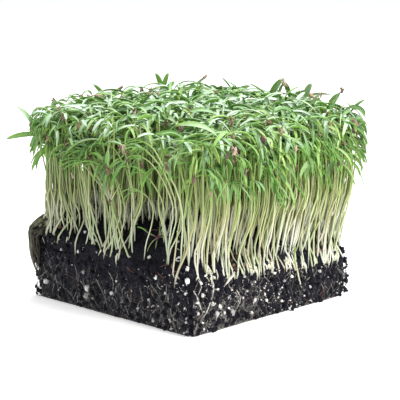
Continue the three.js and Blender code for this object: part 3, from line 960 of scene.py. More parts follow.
def stem_material(finish):
    """Stems that run from cream at the foot to green at the neck, each a little lighter or darker, and
    darker and more olive towards -X, a painted shade.
    """
    n = Nodes("stem")
    along, tint, streaks = n.spot()[1], n.tint(), n.noise(n.place((1, 1, 0.08)), 900, 3.0)
    height = n.math("ADD", along, n.range(tint, 0, 1, -0.14, 0.14))
    body = n.ramp(height, [(0.2, finish.stem_foot), (0.52, finish.stem_middle), (0.86, finish.stem_top)])
    # Painted shade: stems darker and more olive towards -X.
    body = n.lay(body, finish.stem_painted_shade, n.parts(n.place())[0], -0.055, 0.045, 0.5, 0.0)
    body = n.lay(body, (0.74, 0.75, 0.6), streaks, 0.4, 0.75, 0.0, 0.25)
    own = n.own(tint, 17.0)
    body = n.lay(body, (0.3, 0.26, 0.14), own, 0.55, 1.0, 0.0, 0.45)
    body = n.lay(body, (0.22, 0.34, 0.08), own, 0.6, 0.0, 0.0, 0.55)
    body = n.lay(body, (0.36, 0.26, 0.15), tint, 0.86, 1.0, 0.0, 0.45)
    body = n.lay(body, (0.17, 0.145, 0.115), along, 0.0, 0.14, 0.8, 0.0)
    n.bump(streaks, 0.3, 0.0001)
    return n.finish(body, n.range(streaks, 0.3, 0.7, 0.36, 0.5))


def weed_material():
    """Thin branches that are purple at their knot and a pale green away from it."""
    n = Nodes("odd_seedling")
    knot = [c * MM for c in WEED_KNOT]
    away = n.add("ShaderNodeVectorMath", {0: n.place(), 1: knot}, operation="DISTANCE")
    near = n.range(away.outputs["Value"], 0.0012, 0.004, 0.0, 1.0)
    return n.finish(n.mix(near, (0.08, 0.025, 0.035), (0.28, 0.36, 0.15)), 0.5, 0.4)


def husk_material(finish):
    """Dry husks, dark brown with paler papery flakes."""
    n = Nodes("seed_husk")
    patches = n.noise(n.place(), 900, 5.0, 0.75)
    shade = n.math("ADD", patches, n.range(n.tint(), 0, 1, -0.22, 0.22))
    body = n.ramp(shade, [(0.3, finish.husk_dark), (0.52, (0.26, 0.175, 0.11)), (0.78, finish.husk_pale)])
    n.bump(patches, 0.9, 0.0006)
    return n.finish(body, n.range(patches, 0.3, 0.7, 0.55, 0.85), 0.3)


def soil_material(finish, name="potting_mix"):
    """Damp, crumbly mix: nearly black, flecked with brown and grey."""
    n = Nodes(name)
    clods, fine = n.noise(n.place(), 300, 5.0, 0.7), n.noise(n.place(), 1100, 4.0, 0.7)
    body = n.ramp(clods, [(0.35, finish.soil_dark), (0.6, finish.soil_light), (0.75, (0.05, 0.038, 0.036))])
    body = n.lay(body, (0.09, 0.088, 0.13), fine, 0.6, 0.72, 0.0, 0.85)
    n.bump(n.math("ADD", clods, fine), 1.0, 0.0012)
    return n.finish(body, n.range(fine, 0.35, 0.65, 0.45, 0.9), 0.18)


def perlite_material(finish):
    """White, foamy grains, a little soiled."""
    n = Nodes("perlite")
    pores, dirt = n.noise(n.place(), 1500, 4.0, 0.6), n.noise(n.place(), 500, 3.0)
    body = n.mix(n.range(dirt, 0.45, 0.7, 0.0, 0.75), finish.perlite, (0.3, 0.28, 0.26))
    body = n.lay(body, (0.13, 0.12, 0.12), n.tint(), 0.0, 0.6, 0.85, 0.0)
    n.bump(pores, 0.8, 0.0005)
    return n.finish(body, 0.8, 0.3)


def thread_material(name, colours, grain, grime, relief, roughness, shine=0.5):
    """A thread whose colour goes with its tint, and that has grime in its grain."""
    n = Nodes(name)
    (stretch, scale, detail), (colour, low, high, most) = grain, grime
    pattern = n.noise(n.place((1, 1, stretch)), scale, detail)
    body = n.lay(n.ramp(n.tint(), colours), colour, pattern, low, high, 0.0, most)
    n.bump(pattern, *relief)
    return n.finish(body, roughness, shine)


def root_material(finish):
    """Fine roots: some white and fresh, some grey with soil on them."""
    colours = [(0.0, (0.045, 0.044, 0.048)), (0.5, (0.15, 0.145, 0.145)), (1.0, finish.root)]
    grime = ((0.03, 0.028, 0.03), 0.42, 0.68, 0.85)
    return thread_material("root", colours, (1, 600, 4.0), grime, (0.5, 0.0002), 0.6)


def strand_and_shadow_material():
    """Worn roots and stems, from soil-stained brown to a dull green; their dark strands also stand in for
    painted shade by the corner.
    """
    colours = [(0.0, (0.05, 0.042, 0.035)), (0.6, (0.12, 0.12, 0.075)), (1.0, (0.3, 0.3, 0.2))]
    grime = ((0.02, 0.018, 0.02), 0.45, 0.7, 0.8)
    return thread_material("strand", colours, (0.2, 500, 4.0), grime, (0.6, 0.0003), 0.7, 0.3)


def fibre_material(finish):
    """Reddish-brown strands of coir in the mix."""
    colours = [(0.0, (0.07, 0.032, 0.025)), (1.0, finish.fibre)]
    grime = ((0.3, 0.18, 0.12), 0.4, 0.7, 0.4)
    return thread_material("coir_fibre", colours, (1, 1200, 3.0), grime, (0.4, 0.0002), 0.65)


def floor_material(stage):
    """A plain pale floor with a faint tooth."""
    n = Nodes("floor")
    tooth = n.noise(n.place(), 40, 2.0)
    body = n.mix(n.range(tooth, 0.3, 0.7, 0.0, 0.02), stage.floor, (0.8, 0.8, 0.8))
    n.put(n.shader.inputs["Emission Color"], (*stage.floor, 1))
    n.put(n.shader.inputs["Emission Strength"], stage.floor_glow)
    return n.finish(body, 0.9, 0.2)


# ---- Soil ----
TOP_CUTS = 132
SIDE_RINGS = 38


def crumble(point, relief):
    """How far the crumbly surface stands out at a point: rounded clods with finer crumbs on them."""
    clods = noise.voronoi(point * 0.2)[0][0]
    crumbs = noise.voronoi(point * 0.6 + Vector((7, 3, 1)))[0][0]
    rough = noise.fractal(point * 0.9, 0.8, 2.0, 3)
    return relief * (0.75 - 1.5 * clods * clods) + relief * (0.45 - 1.2 * crumbs) + 0.4 * relief * rough


def soil_point(co, relief):
    """Where a point of the plain box goes on the crumbly block."""
    angle = math.atan2(co.y, co.x)
    share = max(abs(co.x), abs(co.y))
    flat = level(angle)
    rim = flat * outline_radius(angle)
    if co.z == 0:
        place = rim * share
        place.z = soil_height(place.x, place.y)
        rise = crumble(place, relief)
        out = Vector((0, 0, 1)) if share < 0.999 else (flat + Vector((0, 0, 1))).normalized()
        return place + out * (1.25 * rise)
    height = soil_height(rim.x, rim.y) * (1 + co.z)
    base = max(0, 1 - height / BASE_EDGE)
    place = flat * (outline_radius(angle) + side_bulge(angle, height) - 0.7 * base)
    place.z = height
    return place + flat * (crumble(place, relief) * min(1, height / 2))


def build_soil(soil, finish):
    bm = bmesh.new()
    bmesh.ops.create_grid(bm, x_segments=TOP_CUTS, y_segments=TOP_CUTS, size=1)
    rim = [edge for edge in bm.edges if edge.is_boundary]
    for ring in range(SIDE_RINGS):
        grown = bmesh.ops.extrude_edge_only(bm, edges=rim)["geom"]
        corners = [g for g in grown if isinstance(g, bmesh.types.BMVert)]
        rim = [g for g in grown if isinstance(g, bmesh.types.BMEdge) and g.is_boundary]
        for corner in corners:
            corner.co.z = -(ring + 1) / SIDE_RINGS
    bmesh.ops.holes_fill(bm, edges=rim, sides=0)
    bmesh.ops.recalc_face_normals(bm, faces=bm.faces)
    for vert in bm.verts:
        vert.co = soil_point(vert.co, soil.relief / MM)
    for face in bm.faces:
        face.smooth = True
    finish_piece("soil", bm, [soil_material(finish)], ["soil_block"])


def surface_spot(draw, on_top, side, along):
    """A point of the soil's surface and the direction that it faces."""
    if on_top:
        spot = on_side(side, along, 0) * (0.99 - 0.36 * draw(0, 1) ** 1.7)
        spot.z = soil_height(spot.x, spot.y)
        return spot, Vector((0, 0, 1))
    return on_side(side, along, draw(0.03, 1.0) * side_height(side, along)), outward(side)


def add_grain(bm, shape, place_at, radius, draw, tint, stretch=0.35):
    """Adds a lump with its own turn, proportions and dents."""
    turn = Matrix.Rotation(draw(0, 6.28), 3, (draw(-1, 1), draw(-1, 1), draw(-1, 1) + 1.5))
    sizes = Vector([radius * (1 + draw(-stretch, stretch)) for _ in range(3)])
    where = place_at * 3.1

    def place(co):
        dent = 1 + 0.5 * noise.noise(co * 1.6 + where)
        point = place_at + turn @ Vector([c * s * dent for c, s in zip(co, sizes)])
        point.z = max(0.02, point.z)
        return point

    add_copy(bm, shape, place, tint)


CRUMB_ALONG = 62
CORNER_CRUMBS, CORNER_EDGE, CORNER_BAND = 0.06, 63.4, 2.5
CRUMBS_ON_TOP = 0.45
SMALL_CRUMBS = 0.7
SMALL_CRUMB, LARGE_CRUMB = (0.3, 0.75), (0.75, 1.8)


def build_crumbs(soil, finish):
    draw = seeded_draw(CRUMB_SEED)
    bm = new_mesh()
    shape = grain_shape(1, "crumb_shape")
    for _ in range(soil.crumbs):
        side, along = int(draw(0, 4)), draw(-CRUMB_ALONG, CRUMB_ALONG)
        if draw(0, 1) < CORNER_CRUMBS:
            along = math.copysign(CORNER_EDGE - draw(0, CORNER_BAND), along)
        spot, out = surface_spot(draw, draw(0, 1) < CRUMBS_ON_TOP, side, along)
        radius = draw(*(SMALL_CRUMB if draw(0, 1) < SMALL_CRUMBS else LARGE_CRUMB))
        add_grain(bm, shape, spot + out * (0.45 * radius), radius, draw, draw(0, 1), 0.5)
    finish_piece("soil_crumbs", bm, [soil_material(finish, "soil_crumb")])


# Grains that show most, as (side, along, height, radius): sides 0 and 3 meet at a corner.
LOOSE_GRAINS = (
    (3, 54, 39, 1.5), (3, 61, 35, 1.5), (3, 61, 30, 1.4), (0, -52, 35, 1.4), (3, 60, 23, 0.8),
    (0, -62, 22, 0.8), (0, -59, 18, 1.1), (3, 59, 15, 0.7), (0, -56, 28, 0.8), (0, -22, 30, 1.1),
    (0, -23, 26, 0.8), (0, -15, 12, 0.9), (3, 38, 28, 1.2), (3, -52, 46, 0.8), (3, -36, 45, 0.9),
    (3, -28, 42, 1.0), (3, -39, 31, 1.1), (3, -25, 32, 0.9), (0, 11, 26, 0.9), (0, 53, 23, 1.0),
)  # fmt: skip


def solid_grains(stems):
    """The grains that the solids have too, as (place, radius)."""
    draw = seeded_draw(GRAIN_SEED)
    grains = []
    while len(grains) < PERLITE_COUNT:
        side = int(draw(0, 4))
        along = draw(-PERLITE_ALONG, PERLITE_ALONG)
        on_top = draw(0, 1) < PERLITE_ON_TOP
        radius = draw(PERLITE_SMALLEST, PERLITE_LARGEST)
        place = on_side(side, along, draw(*PERLITE_BAND) * side_height(side, along), -0.2)
        if on_top:
            place *= draw(0.84, 0.95)
            place.z = soil_height(place.x, place.y)
        for _ in range(3):
            draw(0, 3)  # the solids' grain is turned by these, and this one isn't
        near = (math.hypot(stem.foot[0] - place.x, stem.foot[1] - place.y) for stem in stems)
        if on_top and min(near) <= radius + PERLITE_MARGIN:
            continue
        grains.append((place, radius))
    return grains


CORNER_CHIPS = 0.45
CHIPS_ON_TOP = 0.3
SMALL_CHIPS = 0.85
SMALL_CHIP, LARGE_CHIP = (0.12, 0.4), (0.4, 0.95)


def build_perlite(soil, finish):
    draw = seeded_draw(CHIP_SEED)
    bm = new_mesh()
    coarse, fine = grain_shape(2, "perlite_shape"), grain_shape(1, "perlite_chip_shape")
    for place, radius in solid_grains(main_stems()):
        add_grain(bm, coarse, place, radius * 0.95, draw, draw(0.0, 0.5), 0.3)
    for side, along, height, radius in LOOSE_GRAINS:
        place = on_side(side, along, height, 0.3 * radius)
        while soil_height(place.x, place.y) < height:
            place.x, place.y = place.x * 0.99, place.y * 0.99
        add_grain(bm, coarse, place, radius, draw, 1, 0.3)
    for _ in range(soil.perlite_chips):
        near_corner = draw(0, 1) < CORNER_CHIPS
        side = int(draw(0, 4))
        along = draw(-62, 62)
        if near_corner:
            side, along = (3, 62 - 34 * draw(0, 1) ** 1.2) if side < 1 else (0, 95 * draw(0, 1) ** 1.15 - 62)
        spot, out = surface_spot(draw, draw(0, 1) < CHIPS_ON_TOP, side, along)
        radius = draw(*(SMALL_CHIP if draw(0, 1) < SMALL_CHIPS else LARGE_CHIP))
        tint = draw(0.4, 1) if near_corner else draw(0, 0.8 if side == 0 else 0.6)
        add_grain(bm, fine, spot + out * 0.7 * radius, radius, draw, tint)
    finish_piece("perlite", bm, [perlite_material(finish)])


def add_root(bm, shape, side, points, radius, tint):
    """Adds a root on a side, through (along, z, out) points."""
    across = outward(side)
    line = [on_side(side, along, max(0.5, z), out) for along, z, out in points]
    taper = lambda share: radius * (1 - 0.75 * abs(2 * share - 0.9) ** 2.5)
    add_tube(bm, shape, ROOT_STEPS, line, across, taper, tint)


def fine_root(bm, shape, draw, side, along, z, radius, branches, darkest=0.0):
    """Adds a fine root that wanders down a side, with branches of its own."""
    slant, step, points = draw(-1.1, 1.1), draw(2, 6), []
    tint = darkest + (1 - darkest) * draw(0, 1) ** (3.0 if side == 3 else 1.1)
    for _ in range(6):
        points.append((along, z, draw(-0.1, 0.9)))
        along = max(-62, min(62, along + slant * step * 0.5 + draw(-1.7, 1.7)))
        z = max(0.6, z - step * draw(0.1, 1))
    add_root(bm, shape, side, points, radius, tint)
    for _ in range(branches):
        fork = points[int(draw(1, 4))]
        fine_root(bm, shape, draw, side, fork[0], fork[1], radius * 0.7, 0)


# Thick white roots near a corner, as a radius and (along, z, out) points on side 0.
WHITE_ROOTS = (
    (0.6, ((-62, 25, 0.2), (-60, 21, 0.8), (-58, 17, 0.9), (-55.5, 12, 0.6))),
    (0.65, ((-47, 28, 0.2), (-47.5, 23, 0.9), (-50, 17, 1.0), (-53, 11, 0.9), (-56, 9, 0.4))),
    (0.35, ((-58, 30, 0.4), (-57, 26, 1.0), (-60, 21, 0.8))),
    (0.35, ((-40, 15, 0.4), (-42, 10, 0.9), (-46, 6, 0.5))),
    (0.35, ((-30, 20, 0.3), (-27, 15, 0.9), (-29, 9, 0.8))),
    (1.2, ((-31, 30, 0.2), (-33, 28, 0.8), (-36, 26, 0.9), (-39, 23.5, 0.5))),
)


FINE_ROOT, WHITE_ROOT = (0.07, 0.2), (0.09, 0.19)
WHITE_DARKEST = 0.45
ROOTS_EVERYWHERE = 0.6  # the rest of the fine roots are on side 3


def build_roots(soil, finish):
    bm = new_mesh()
    shape = tube_shape(3, ROOT_STEPS, "root_shape")
    for side in range(4):  # the thick roots that the solids have too
        draw = seeded_draw(THICK_ROOT_SEED + side)
        for k in range(ROOTS_A_SIDE):
            start = -ROOT_REACH + (2 * ROOT_REACH * (k + draw(0.2, 0.8))) / ROOTS_A_SIDE
            high = draw(*ROOT_TOP) * side_height(side, start)
            low, slant, wander = draw(*ROOT_END), draw(-0.45, 0.45), draw(-2, 2)
            points = []
            for step in range(4):
                t = step / 3
                z = high + (low - high) * t
                along = start + slant * (high - z) + wander * math.sin(math.pi * 1.5 * t)
                points.append((along, z, 0.4))
            add_root(bm, shape, side, points, 0.3, 0.6)
    for radius, points in WHITE_ROOTS:
        add_root(bm, shape, 0, points, radius, 1.0)
    draw = seeded_draw(FINE_ROOT_SEED)
    for _ in range(soil.fine_roots):
        side = int(draw(0, 5.5)) % 4 if draw(0, 1) < ROOTS_EVERYWHERE else 3
        along, z = draw(-61, 61), draw(2, 30)
        z = min(z, side_height(side, along) - 1)
        fine_root(bm, shape, draw, side, along, z, draw(*FINE_ROOT), int(draw(0, 3)))
    for _ in range(soil.fine_roots // 3):
        side, away = (0, -1) if draw(0, 1) < 0.7 else (3, 1)
        along, z = away * (62 - 50 * draw(0, 1) ** 1.3), draw(3, 24)
        fine_root(bm, shape, draw, side, along, z, draw(*WHITE_ROOT), int(draw(1, 3)), WHITE_DARKEST)
    finish_piece("roots", bm, [root_material(finish)])


STRAND_CORNER = 225
STRANDS_AWAY, STRANDS_OUT = 86.5, 6.2
STRAND_TOP, STRAND_BOTTOM = (38, 49), (12, 28)
STRAND_RADIUS = (0.25, 0.8)


def build_corner_strands_and_shadow(soil):
    """Roots and worn stems that hang loose down one corner of the block, thick and dark enough to paint the
    shade beside that corner too.
    """
    draw = seeded_draw(STRAND_SEED)
    bm = new_mesh()
    shape = tube_shape(4, ROOT_STEPS, "strand_shape")
    for _ in range(soil.strands):
        swing, out = draw(-1, 1), STRANDS_OUT * draw(0, 1) ** 0.7
        top, bottom = draw(*STRAND_TOP), draw(*STRAND_BOTTOM)
        points = []
        for step in range(5):
            t = step / 4
            away = STRANDS_AWAY + out * math.sin(math.pi * min(1, 0.15 + 0.75 * t)) + draw(-0.3, 0.3)
            angle = math.radians(STRAND_CORNER + 5 * swing + draw(-0.8, 0.8))
            z = top + (bottom - top) * t
            points.append(Vector((away * math.cos(angle), away * math.sin(angle), z)))
        points[0] *= 0.95
        radius = draw(*STRAND_RADIUS)
        taper = lambda share: radius * (1.1 - 0.7 * share)
        add_tube(bm, shape, ROOT_STEPS, points, Vector((1, -1, 0)), taper, draw(0, 1))
    finish_piece("corner_strands_and_shadow", bm, [strand_and_shadow_material()])


# Lumps of coir on the worn edge, as (side, along, how far out of the middle, radius).
COIR_LUMPS = (
    (0, -30, 0.96, 1.3), (0, -26, 0.93, 1.8), (0, -22, 0.97, 1.4), (0, -14, 0.94, 1.7), (0, -9, 0.97, 1.9),
    (0, -4, 0.95, 1.5), (0, -1, 0.98, 1.2), (0, 40, 0.96, 1.6), (0, 49, 0.97, 1.3), (1, 12, 0.96, 1.6),
    (1, -33, 0.95, 1.4), (2, 20, 0.96, 1.5), (2, -41, 0.97, 1.6), (3, -48, 0.95, 1.2), (3, 50, 0.97, 1.3),
)  # fmt: skip


COIR_BED, COIR_BED_SHARE = (-34, 4), 0.45
FIBRE_ALONG = 58
FIBRE_LENGTH, FIBRE_RADIUS = (4, 11), (0.09, 0.19)


def build_fibres(soil, finish):
    draw = seeded_draw(COIR_SEED)
    bm = new_mesh()
    lump = grain_shape(2, "coir_shape")
    for side, along, share, radius in COIR_LUMPS:
        place = on_side(side, along, 0) * share
        place.z = soil_height(place.x, place.y) + 0.6
        add_grain(bm, lump, place, radius, draw, draw(0, 0.5), 0.4)
    shape = tube_shape(4, ROOT_STEPS, "fibre_shape")
    for _ in range(soil.fibres):
        side, along = int(draw(0, 4)), draw(-FIBRE_ALONG, FIBRE_ALONG)
        on_top = draw(0, 1) < 0.5
        if draw(0, 1) < COIR_BED_SHARE:
            side, along, on_top = 0, draw(*COIR_BED), True
        spot, out = surface_spot(draw, on_top, side, along)
        heading, length = draw(0, 2 * math.pi), draw(*FIBRE_LENGTH)
        if on_top:
            flat = level(heading)
        else:
            flat = Vector((-out.y * math.cos(heading), out.x * math.cos(heading), math.sin(heading)))
        bend = out.cross(flat) * draw(-1.5, 1.5)
        lift = draw(0.3, 1.1)
        points = [
            spot - flat * (length / 2),
            spot + bend * 0.7 + out * lift - flat * (length / 6),
            spot + bend + out * lift + flat * (length / 6),
            spot + flat * (length / 2),
        ]
        radius = draw(*FIBRE_RADIUS)
        add_tube(bm, shape, ROOT_STEPS, points, out, lambda share: radius, draw(0, 1))
    finish_piece("coir_fibres", bm, [fibre_material(finish)])


# ---- Seedlings ----


def add_seedling(bm, shapes, seedling, sizes, draw):
    """Adds a stem that is thin at its foot and has a knot at its neck, with its leaves and husks."""
    tube, blade, husk = shapes
    radius = seedling.radius * sizes.stem_thickness

    def radius_at(share):
        foot = min(1, 0.35 + 4 * share)
        return radius * foot * (1.12 - 0.32 * share) * (1.3 if share > 0.99 else 1)

    add_tube(bm, tube, STEM_STEPS, seedling.curve, seedling.across, radius_at, seedling.tint)
    for k, leaf in enumerate(seedling.leaves):
        leaf.half *= sizes.leaf_width
        shade = min(1, max(0, seedling.tint + draw(-0.25, 0.25)))
        end = add_leaf(bm, blade, leaf, seedling.curve[-1], sizes.leaf_thickness / MM, shade)
        if k in seedling.husks:
            add_husk(bm, husk, end, draw)


# Long seedlings that stand in front of one side or arch out over it: their stems' points from foot to
# neck, and their leaves' heading, length, and first and last pitch in degrees.
ARCHING = (
    (
        (
            (53, -61, 30), (55, -62, 47), (58, -64, 64), (56, -67, 79),
            (50, -70, 90), (43, -70, 98), (36, -70, 101),
        ),
        (184, 15, 0, -45),
    ),
    (
        (
            (42, -61, 32), (45, -61, 46), (53, -64, 60), (54, -66, 73),
            (49, -69, 87), (42, -69, 93), (35, -69, 97),
        ),
        (184, 15, 5, -35),
    ),
    (
        ((43, -61, 32), (46, -62, 50), (52, -65, 68), (48, -69, 83), (40, -69, 90), (32, -69, 93)),
        (184, 11, 0, -40),
    ),
    (
        ((27, -52, 46), (33, -54, 53), (40, -60, 62), (42, -63, 69), (40, -66, 77), (34, -68, 84)),
        (184, 16, 15, -40),
    ),
    (
        ((25, -61, 32), (28, -62, 44), (33, -63, 54), (36, -64, 64), (34, -66, 71), (28, -67, 74)),
        (186, 14, -5, -60),
    ),
    (
        ((44, -61, 31), (45, -61, 42), (52, -62, 52), (58, -62, 64), (59, -62, 78), (54, -63, 88)),
        (150, 17, 50, -40),
    ),
    (
        ((7, -62, 31), (6, -62, 39), (4, -63, 50), (5, -64, 62), (2, -64, 78), (-6, -65, 88)),
        (190, 17, 20, -50),
    ),
    (
        ((17, -61, 32), (16, -61, 41), (17, -62, 56), (17, -62, 71), (12, -62, 84), (5, -63, 93)),
        (190, 17, 25, -45),
    ),
    (
        ((-20, -62, 22), (-16, -62, 36), (-14, -62, 49), (-17, -62, 59), (-22, -62, 72), (-26, -62, 86)),
        (160, 18, 45, -45),
    ),
    (
        ((-5, -62, 29), (-10, -62, 39), (-17, -62, 49), (-20, -62, 57), (-19, -62, 70), (-21, -62, 86)),
        (205, 17, 20, -50),
    ),
    (((9, -62, 30), (6, -62, 42), (2, -62, 58), (-5, -62, 74), (-14, -63, 88)), (205, 17, 20, -50)),
    (((-2, -62, 29), (-10, -62, 44), (-18, -62, 63), (-23, -62, 77), (-26, -62, 90)), (160, 18, 45, -45)),
    (((-30, -59, 40), (-30, -61, 46), (-37, -62, 58), (-42, -63, 72), (-44, -63, 86)), (190, 16, 20, -55)),
    (((6, -62, 31), (3, -62, 45), (3, -62, 60), (-3, -64, 78), (-12, -65, 90)), (190, 18, 35, -50)),
    (((3, -62, 33), (8, -62, 46), (12, -62, 60), (8, -64, 76), (0, -65, 86)), (175, 18, 30, -60)),
)  # fmt: skip
# The knot of one seedling, from which thin threads and half-open leaves fan out: the threads' (x, z) ends,
# and the leaves' (heading, length, pitch) in degrees.
KNOT_THREADS = ((-28, 89), (-20, 84), (-16, 92), (-10, 84), (-7, 93), (1, 84), (9, 82), (14, 76))
KNOT_STEM = ((19, -61, 27), (15, -63, 36), (11, -65, 48), (7, -66, 60), (5, -66.5, 65))
KNOT_LEAVES = ((172, 32, 47), (170, 28, 64))
# A small odd seedling in the clearing: branches as (heading, length, first pitch, last pitch) from its knot.
WEED_KNOT = (31, -56, 47.5)
WEED_BRANCHES = (
    (200, 9, 15, 30),
    (30, 9, 70, 100),
    (20, 9, 10, 30),
    (5, 12, 40, 5),
    (200, 15, -35, -95),
    (190, 10, -70, -95),
)
# A fallen seedling that hangs down one side, from its top to its end, through (along, z, out) points.
HANGING_STEM = ((24, 11, 0.8), (21, 16, 1.0), (19, 22, 1.1), (17, 29, 1.2), (17, 36, 0.8))
# Long leaves that reach out past one corner: a stem's points, and one leaf each.
CORNER_STRAYS = (
    (((-57, -57, 34), (-57, -57, 55), (-58, -58, 70), (-60, -60, 84)), (225, 31, 84, 34)),
    (((-54, -54, 34), (-55, -55, 55), (-56, -56, 75), (-58, -58, 93)), (225, 24, 12, -28)),
)
# Seedlings that stand up out of the canopy: a neck, two leaves as (heading, length, first pitch, half its
# width), and which of them holds a husk.
STANDING = (
    ((-56, 32, 109), ((225, 14, 80, 1.6), (45, 14, 84, 1.4), (45, 11, 55, 1.3)), ()),
    ((-38, 36, 109), ((45, 16, 58, 0.9), (225, 12, 25, 0.9), (30, 9, 64, 2.4)), (0,)),
    ((-10, 54, 111), ((225, 13, 48, 0.4), (30, 12, 15, 0.9)), ()),
    ((4, 60, 107), ((45, 17, 68, 1.9), (200, 12, 30, 1.0)), ()),
    ((14, 58, 111), ((50, 9, 78, 0.9), (250, 12, 20, 1.0)), (0,)),
    ((-60, -36, 104), ((225, 13, 40, 1.2), (60, 12, 20, 0.9)), (0,)),
    ((-62, -8, 108), ((225, 13, 60, 1.3), (45, 13, 50, 1.1)), (1,)),
    ((42, 52, 105), ((45, 13, 66, 1.4), (225, 13, 40, 1.0)), (0,)),
    ((27, 66, 109), ((45, 12, 76, 1.9), (225, 12, 35, 1.2)), ()),
    ((45, 66, 106), ((45, 12, 62, 1.8), (225, 12, 48, 1.3)), (1,)),
    ((17, 65, 109), ((225, 12, 80, 1.7), (20, 12, 40, 1.2)), (0,)),
    ((-26, 62, 110), ((225, 12, 62, 0.5), (30, 12, 30, 1.1)), ()),
    ((-60, -30, 107), ((225, 10, 55, 1.1), (45, 10, 45, 1.2)), (1,)),
    ((-48, -34, 108), ((225, 9, 40, 1.2), (45, 9, 62, 1.1)), (1,)),
    ((-56, -14, 108), ((225, 10, 30, 1.2), (45, 9, 50, 1.2)), (0,)),
)
# Seedlings whose necks hold a whole torn seed: the neck, and how many flakes.
SEED_HEADS = (
    ((74, 34, 104), 7), ((73, -5, 105), 6), ((58, -28, 111), 5), ((69, -38, 104), 3),
    ((-12, -66, 88), 5), ((17, -67, 96), 6), ((-30, -66, 94), 4), ((-20, -66, 105), 4),
    ((-32, -47, 109), 4), ((-52, -5, 112), 3), ((-4, -40, 111), 3), ((20, -20, 111), 4),
    ((66, -49, 95), 3), ((40, 20, 110), 4), ((30, 50, 110), 4), ((-40, 12, 111), 4),
    ((68, 62, 98), 4), ((-62, -52, 104), 4), ((0, 20, 111), 3), ((-20, 62, 106), 4),
    ((-62, -28, 112), 6), ((-48, -32, 111), 5), ((-58, -10, 112), 4), ((-60, 18, 113), 6),
    ((-50, 16, 113), 5), ((-36, -63, 107), 6), ((66, 40, 107), 5), ((-4, -66, 106), 5),
    ((62, -8, 107), 4), ((46, -4, 110), 4),
)  # fmt: skip


ARCHING_HUSKS = 0.3  # the share of them with a husk
ARCHING_AGAIN = 12  # short of this x, each arching seedling has a second one beside it
STANDING_INWARD, SEED_HEAD_INWARD = 0.93, 0.86  # how far in the feet are, as a share of the necks
STANDING_FALL = 22
EDGE_ON = 65
SEED_HEAD_SWINGS = (-88, 84)


def pitched_leaf(draw, heading, arc, first, last, half, roll=0.0):
    """A leaf from angles in degrees."""
    angles = [math.radians(angle) for angle in (first, last, roll)]
    return Leaf(math.radians(heading), arc, angles[0], angles[1], angles[2] + draw(-0.4, 0.4), half=half)


def rising_line(neck, inward):
    """The points of a stem that rises out of the soil a little nearer the middle than its neck."""
    x, y = neck[0] * inward, neck[1] * inward
    return [(x, y, soil_height(x, y) - FOOT_DEPTH), (x * 1.02, y * 1.02, 68), neck]


def stray_seedlings(draw):
    """The seedlings that are placed one by one."""
    seedlings = []
    for points, (heading, arc, first, last) in ARCHING + ARCHING:
        leaves = [
            pitched_leaf(draw, heading + spread, arc * draw(0.95, 1.3), first + lift, last, draw(0.45, 0.8))
            for spread, lift in ((-6, draw(-12, -4)), (8, draw(4, 16)))
        ]
        husks = [1] if draw(0, 1) < ARCHING_HUSKS else []
        line = [Vector(point) for point in points]
        if len(seedlings) >= len(ARCHING):
            if line[0].x > ARCHING_AGAIN:
                continue
            at_foot, at_neck = Vector((-7, 0, 0)), Vector((draw(-5, 5), draw(-1, 1), draw(-6, 1)))
            line = [point + at_foot.lerp(at_neck, k / (len(line) - 1)) for k, point in enumerate(line)]
        seedlings.append((line, leaves, husks, draw(0.34, 0.46)))
    fan = [pitched_leaf(draw, turn, arc, pitch, pitch + 8, 0.42) for turn, arc, pitch in KNOT_LEAVES]
    seedlings.append((KNOT_STEM, fan, [], 0.5))
    for points, (heading, arc, first, last) in CORNER_STRAYS:
        seedlings.append((points, [pitched_leaf(draw, heading, arc, first, last, 1.5, -70)], [], 0.55))
    for neck, leaves, husks in STANDING:
        upright = []
        for heading, arc, first, half in leaves:
            upright.append(pitched_leaf(draw, heading, arc, first, first - STANDING_FALL, half, EDGE_ON))
        seedlings.append((rising_line(neck, STANDING_INWARD), upright, husks, 0.5))
    return seedlings


def build_strays(sizes, finish):
    """The seedlings that are placed one by one, with their loose threads and husks."""
    shapes = (tube_shape(5, STEM_STEPS, "stray_stem_shape"), leaf_shape(), husk_shape())
    draw = seeded_draw(STRAY_SEED)
    bm = new_mesh()
    for points, leaves, husks, radius in stray_seedlings(draw):
        curve = [Vector(point) for point in points]
        tint = draw(0.295, 0.31) if radius < 0.47 else draw(0.2, 0.7)
        add_seedling(bm, shapes, Seedling(curve, leaves, husks, radius, tint), sizes, draw)
    knot = Vector(KNOT_STEM[-1])
    for x, z in KNOT_THREADS:
        end = Vector((x, knot.y + draw(-0.8, 0.8), z))
        middle = (knot + end) / 2 + Vector((draw(-1, 1), 0, draw(-0.5, 1.5)))
        add_seedling(bm, shapes, Seedling([knot, middle, end], [], [], 0.27, draw(0.86, 1)), sizes, draw)
    hanging = [on_side(0, along, z, out) for along, z, out in HANGING_STEM]
    add_seedling(bm, shapes, Seedling(hanging, [], [], 0.5, 0.5, (1, 0, 0)), sizes, draw)
    seed = on_side(0, -35, 22.5, 0.6)
    lying = (seed, Vector((0, 0.75, 0.66)), Vector((1, 0, 0)), Vector((0, -0.66, 0.75)))
    add_husk(bm, shapes[2], lying, draw, 1.9)
    for neck, flakes in SEED_HEADS:
        curve = [Vector(point) for point in rising_line(neck, SEED_HEAD_INWARD)]
        turn = math.degrees(math.atan2(neck[1], neck[0]))
        leaves = [pitched_leaf(draw, turn + swing, draw(13, 19), 30, -50, 0.9) for swing in SEED_HEAD_SWINGS]
        add_seedling(bm, shapes, Seedling(curve, leaves, [], 0.5, draw(0.2, 0.7)), sizes, draw)
        add_husk(bm, shapes[2], leaf_end(curve[-1]), draw, flakes * 1.6)
    add_husk(bm, shapes[2], leaf_end(KNOT_STEM[-1]), draw, palest=0.1)
    materials = [stem_material(finish), leaf_material(finish), husk_material(finish)]
    finish_piece("arching_seedlings", bm, materials)


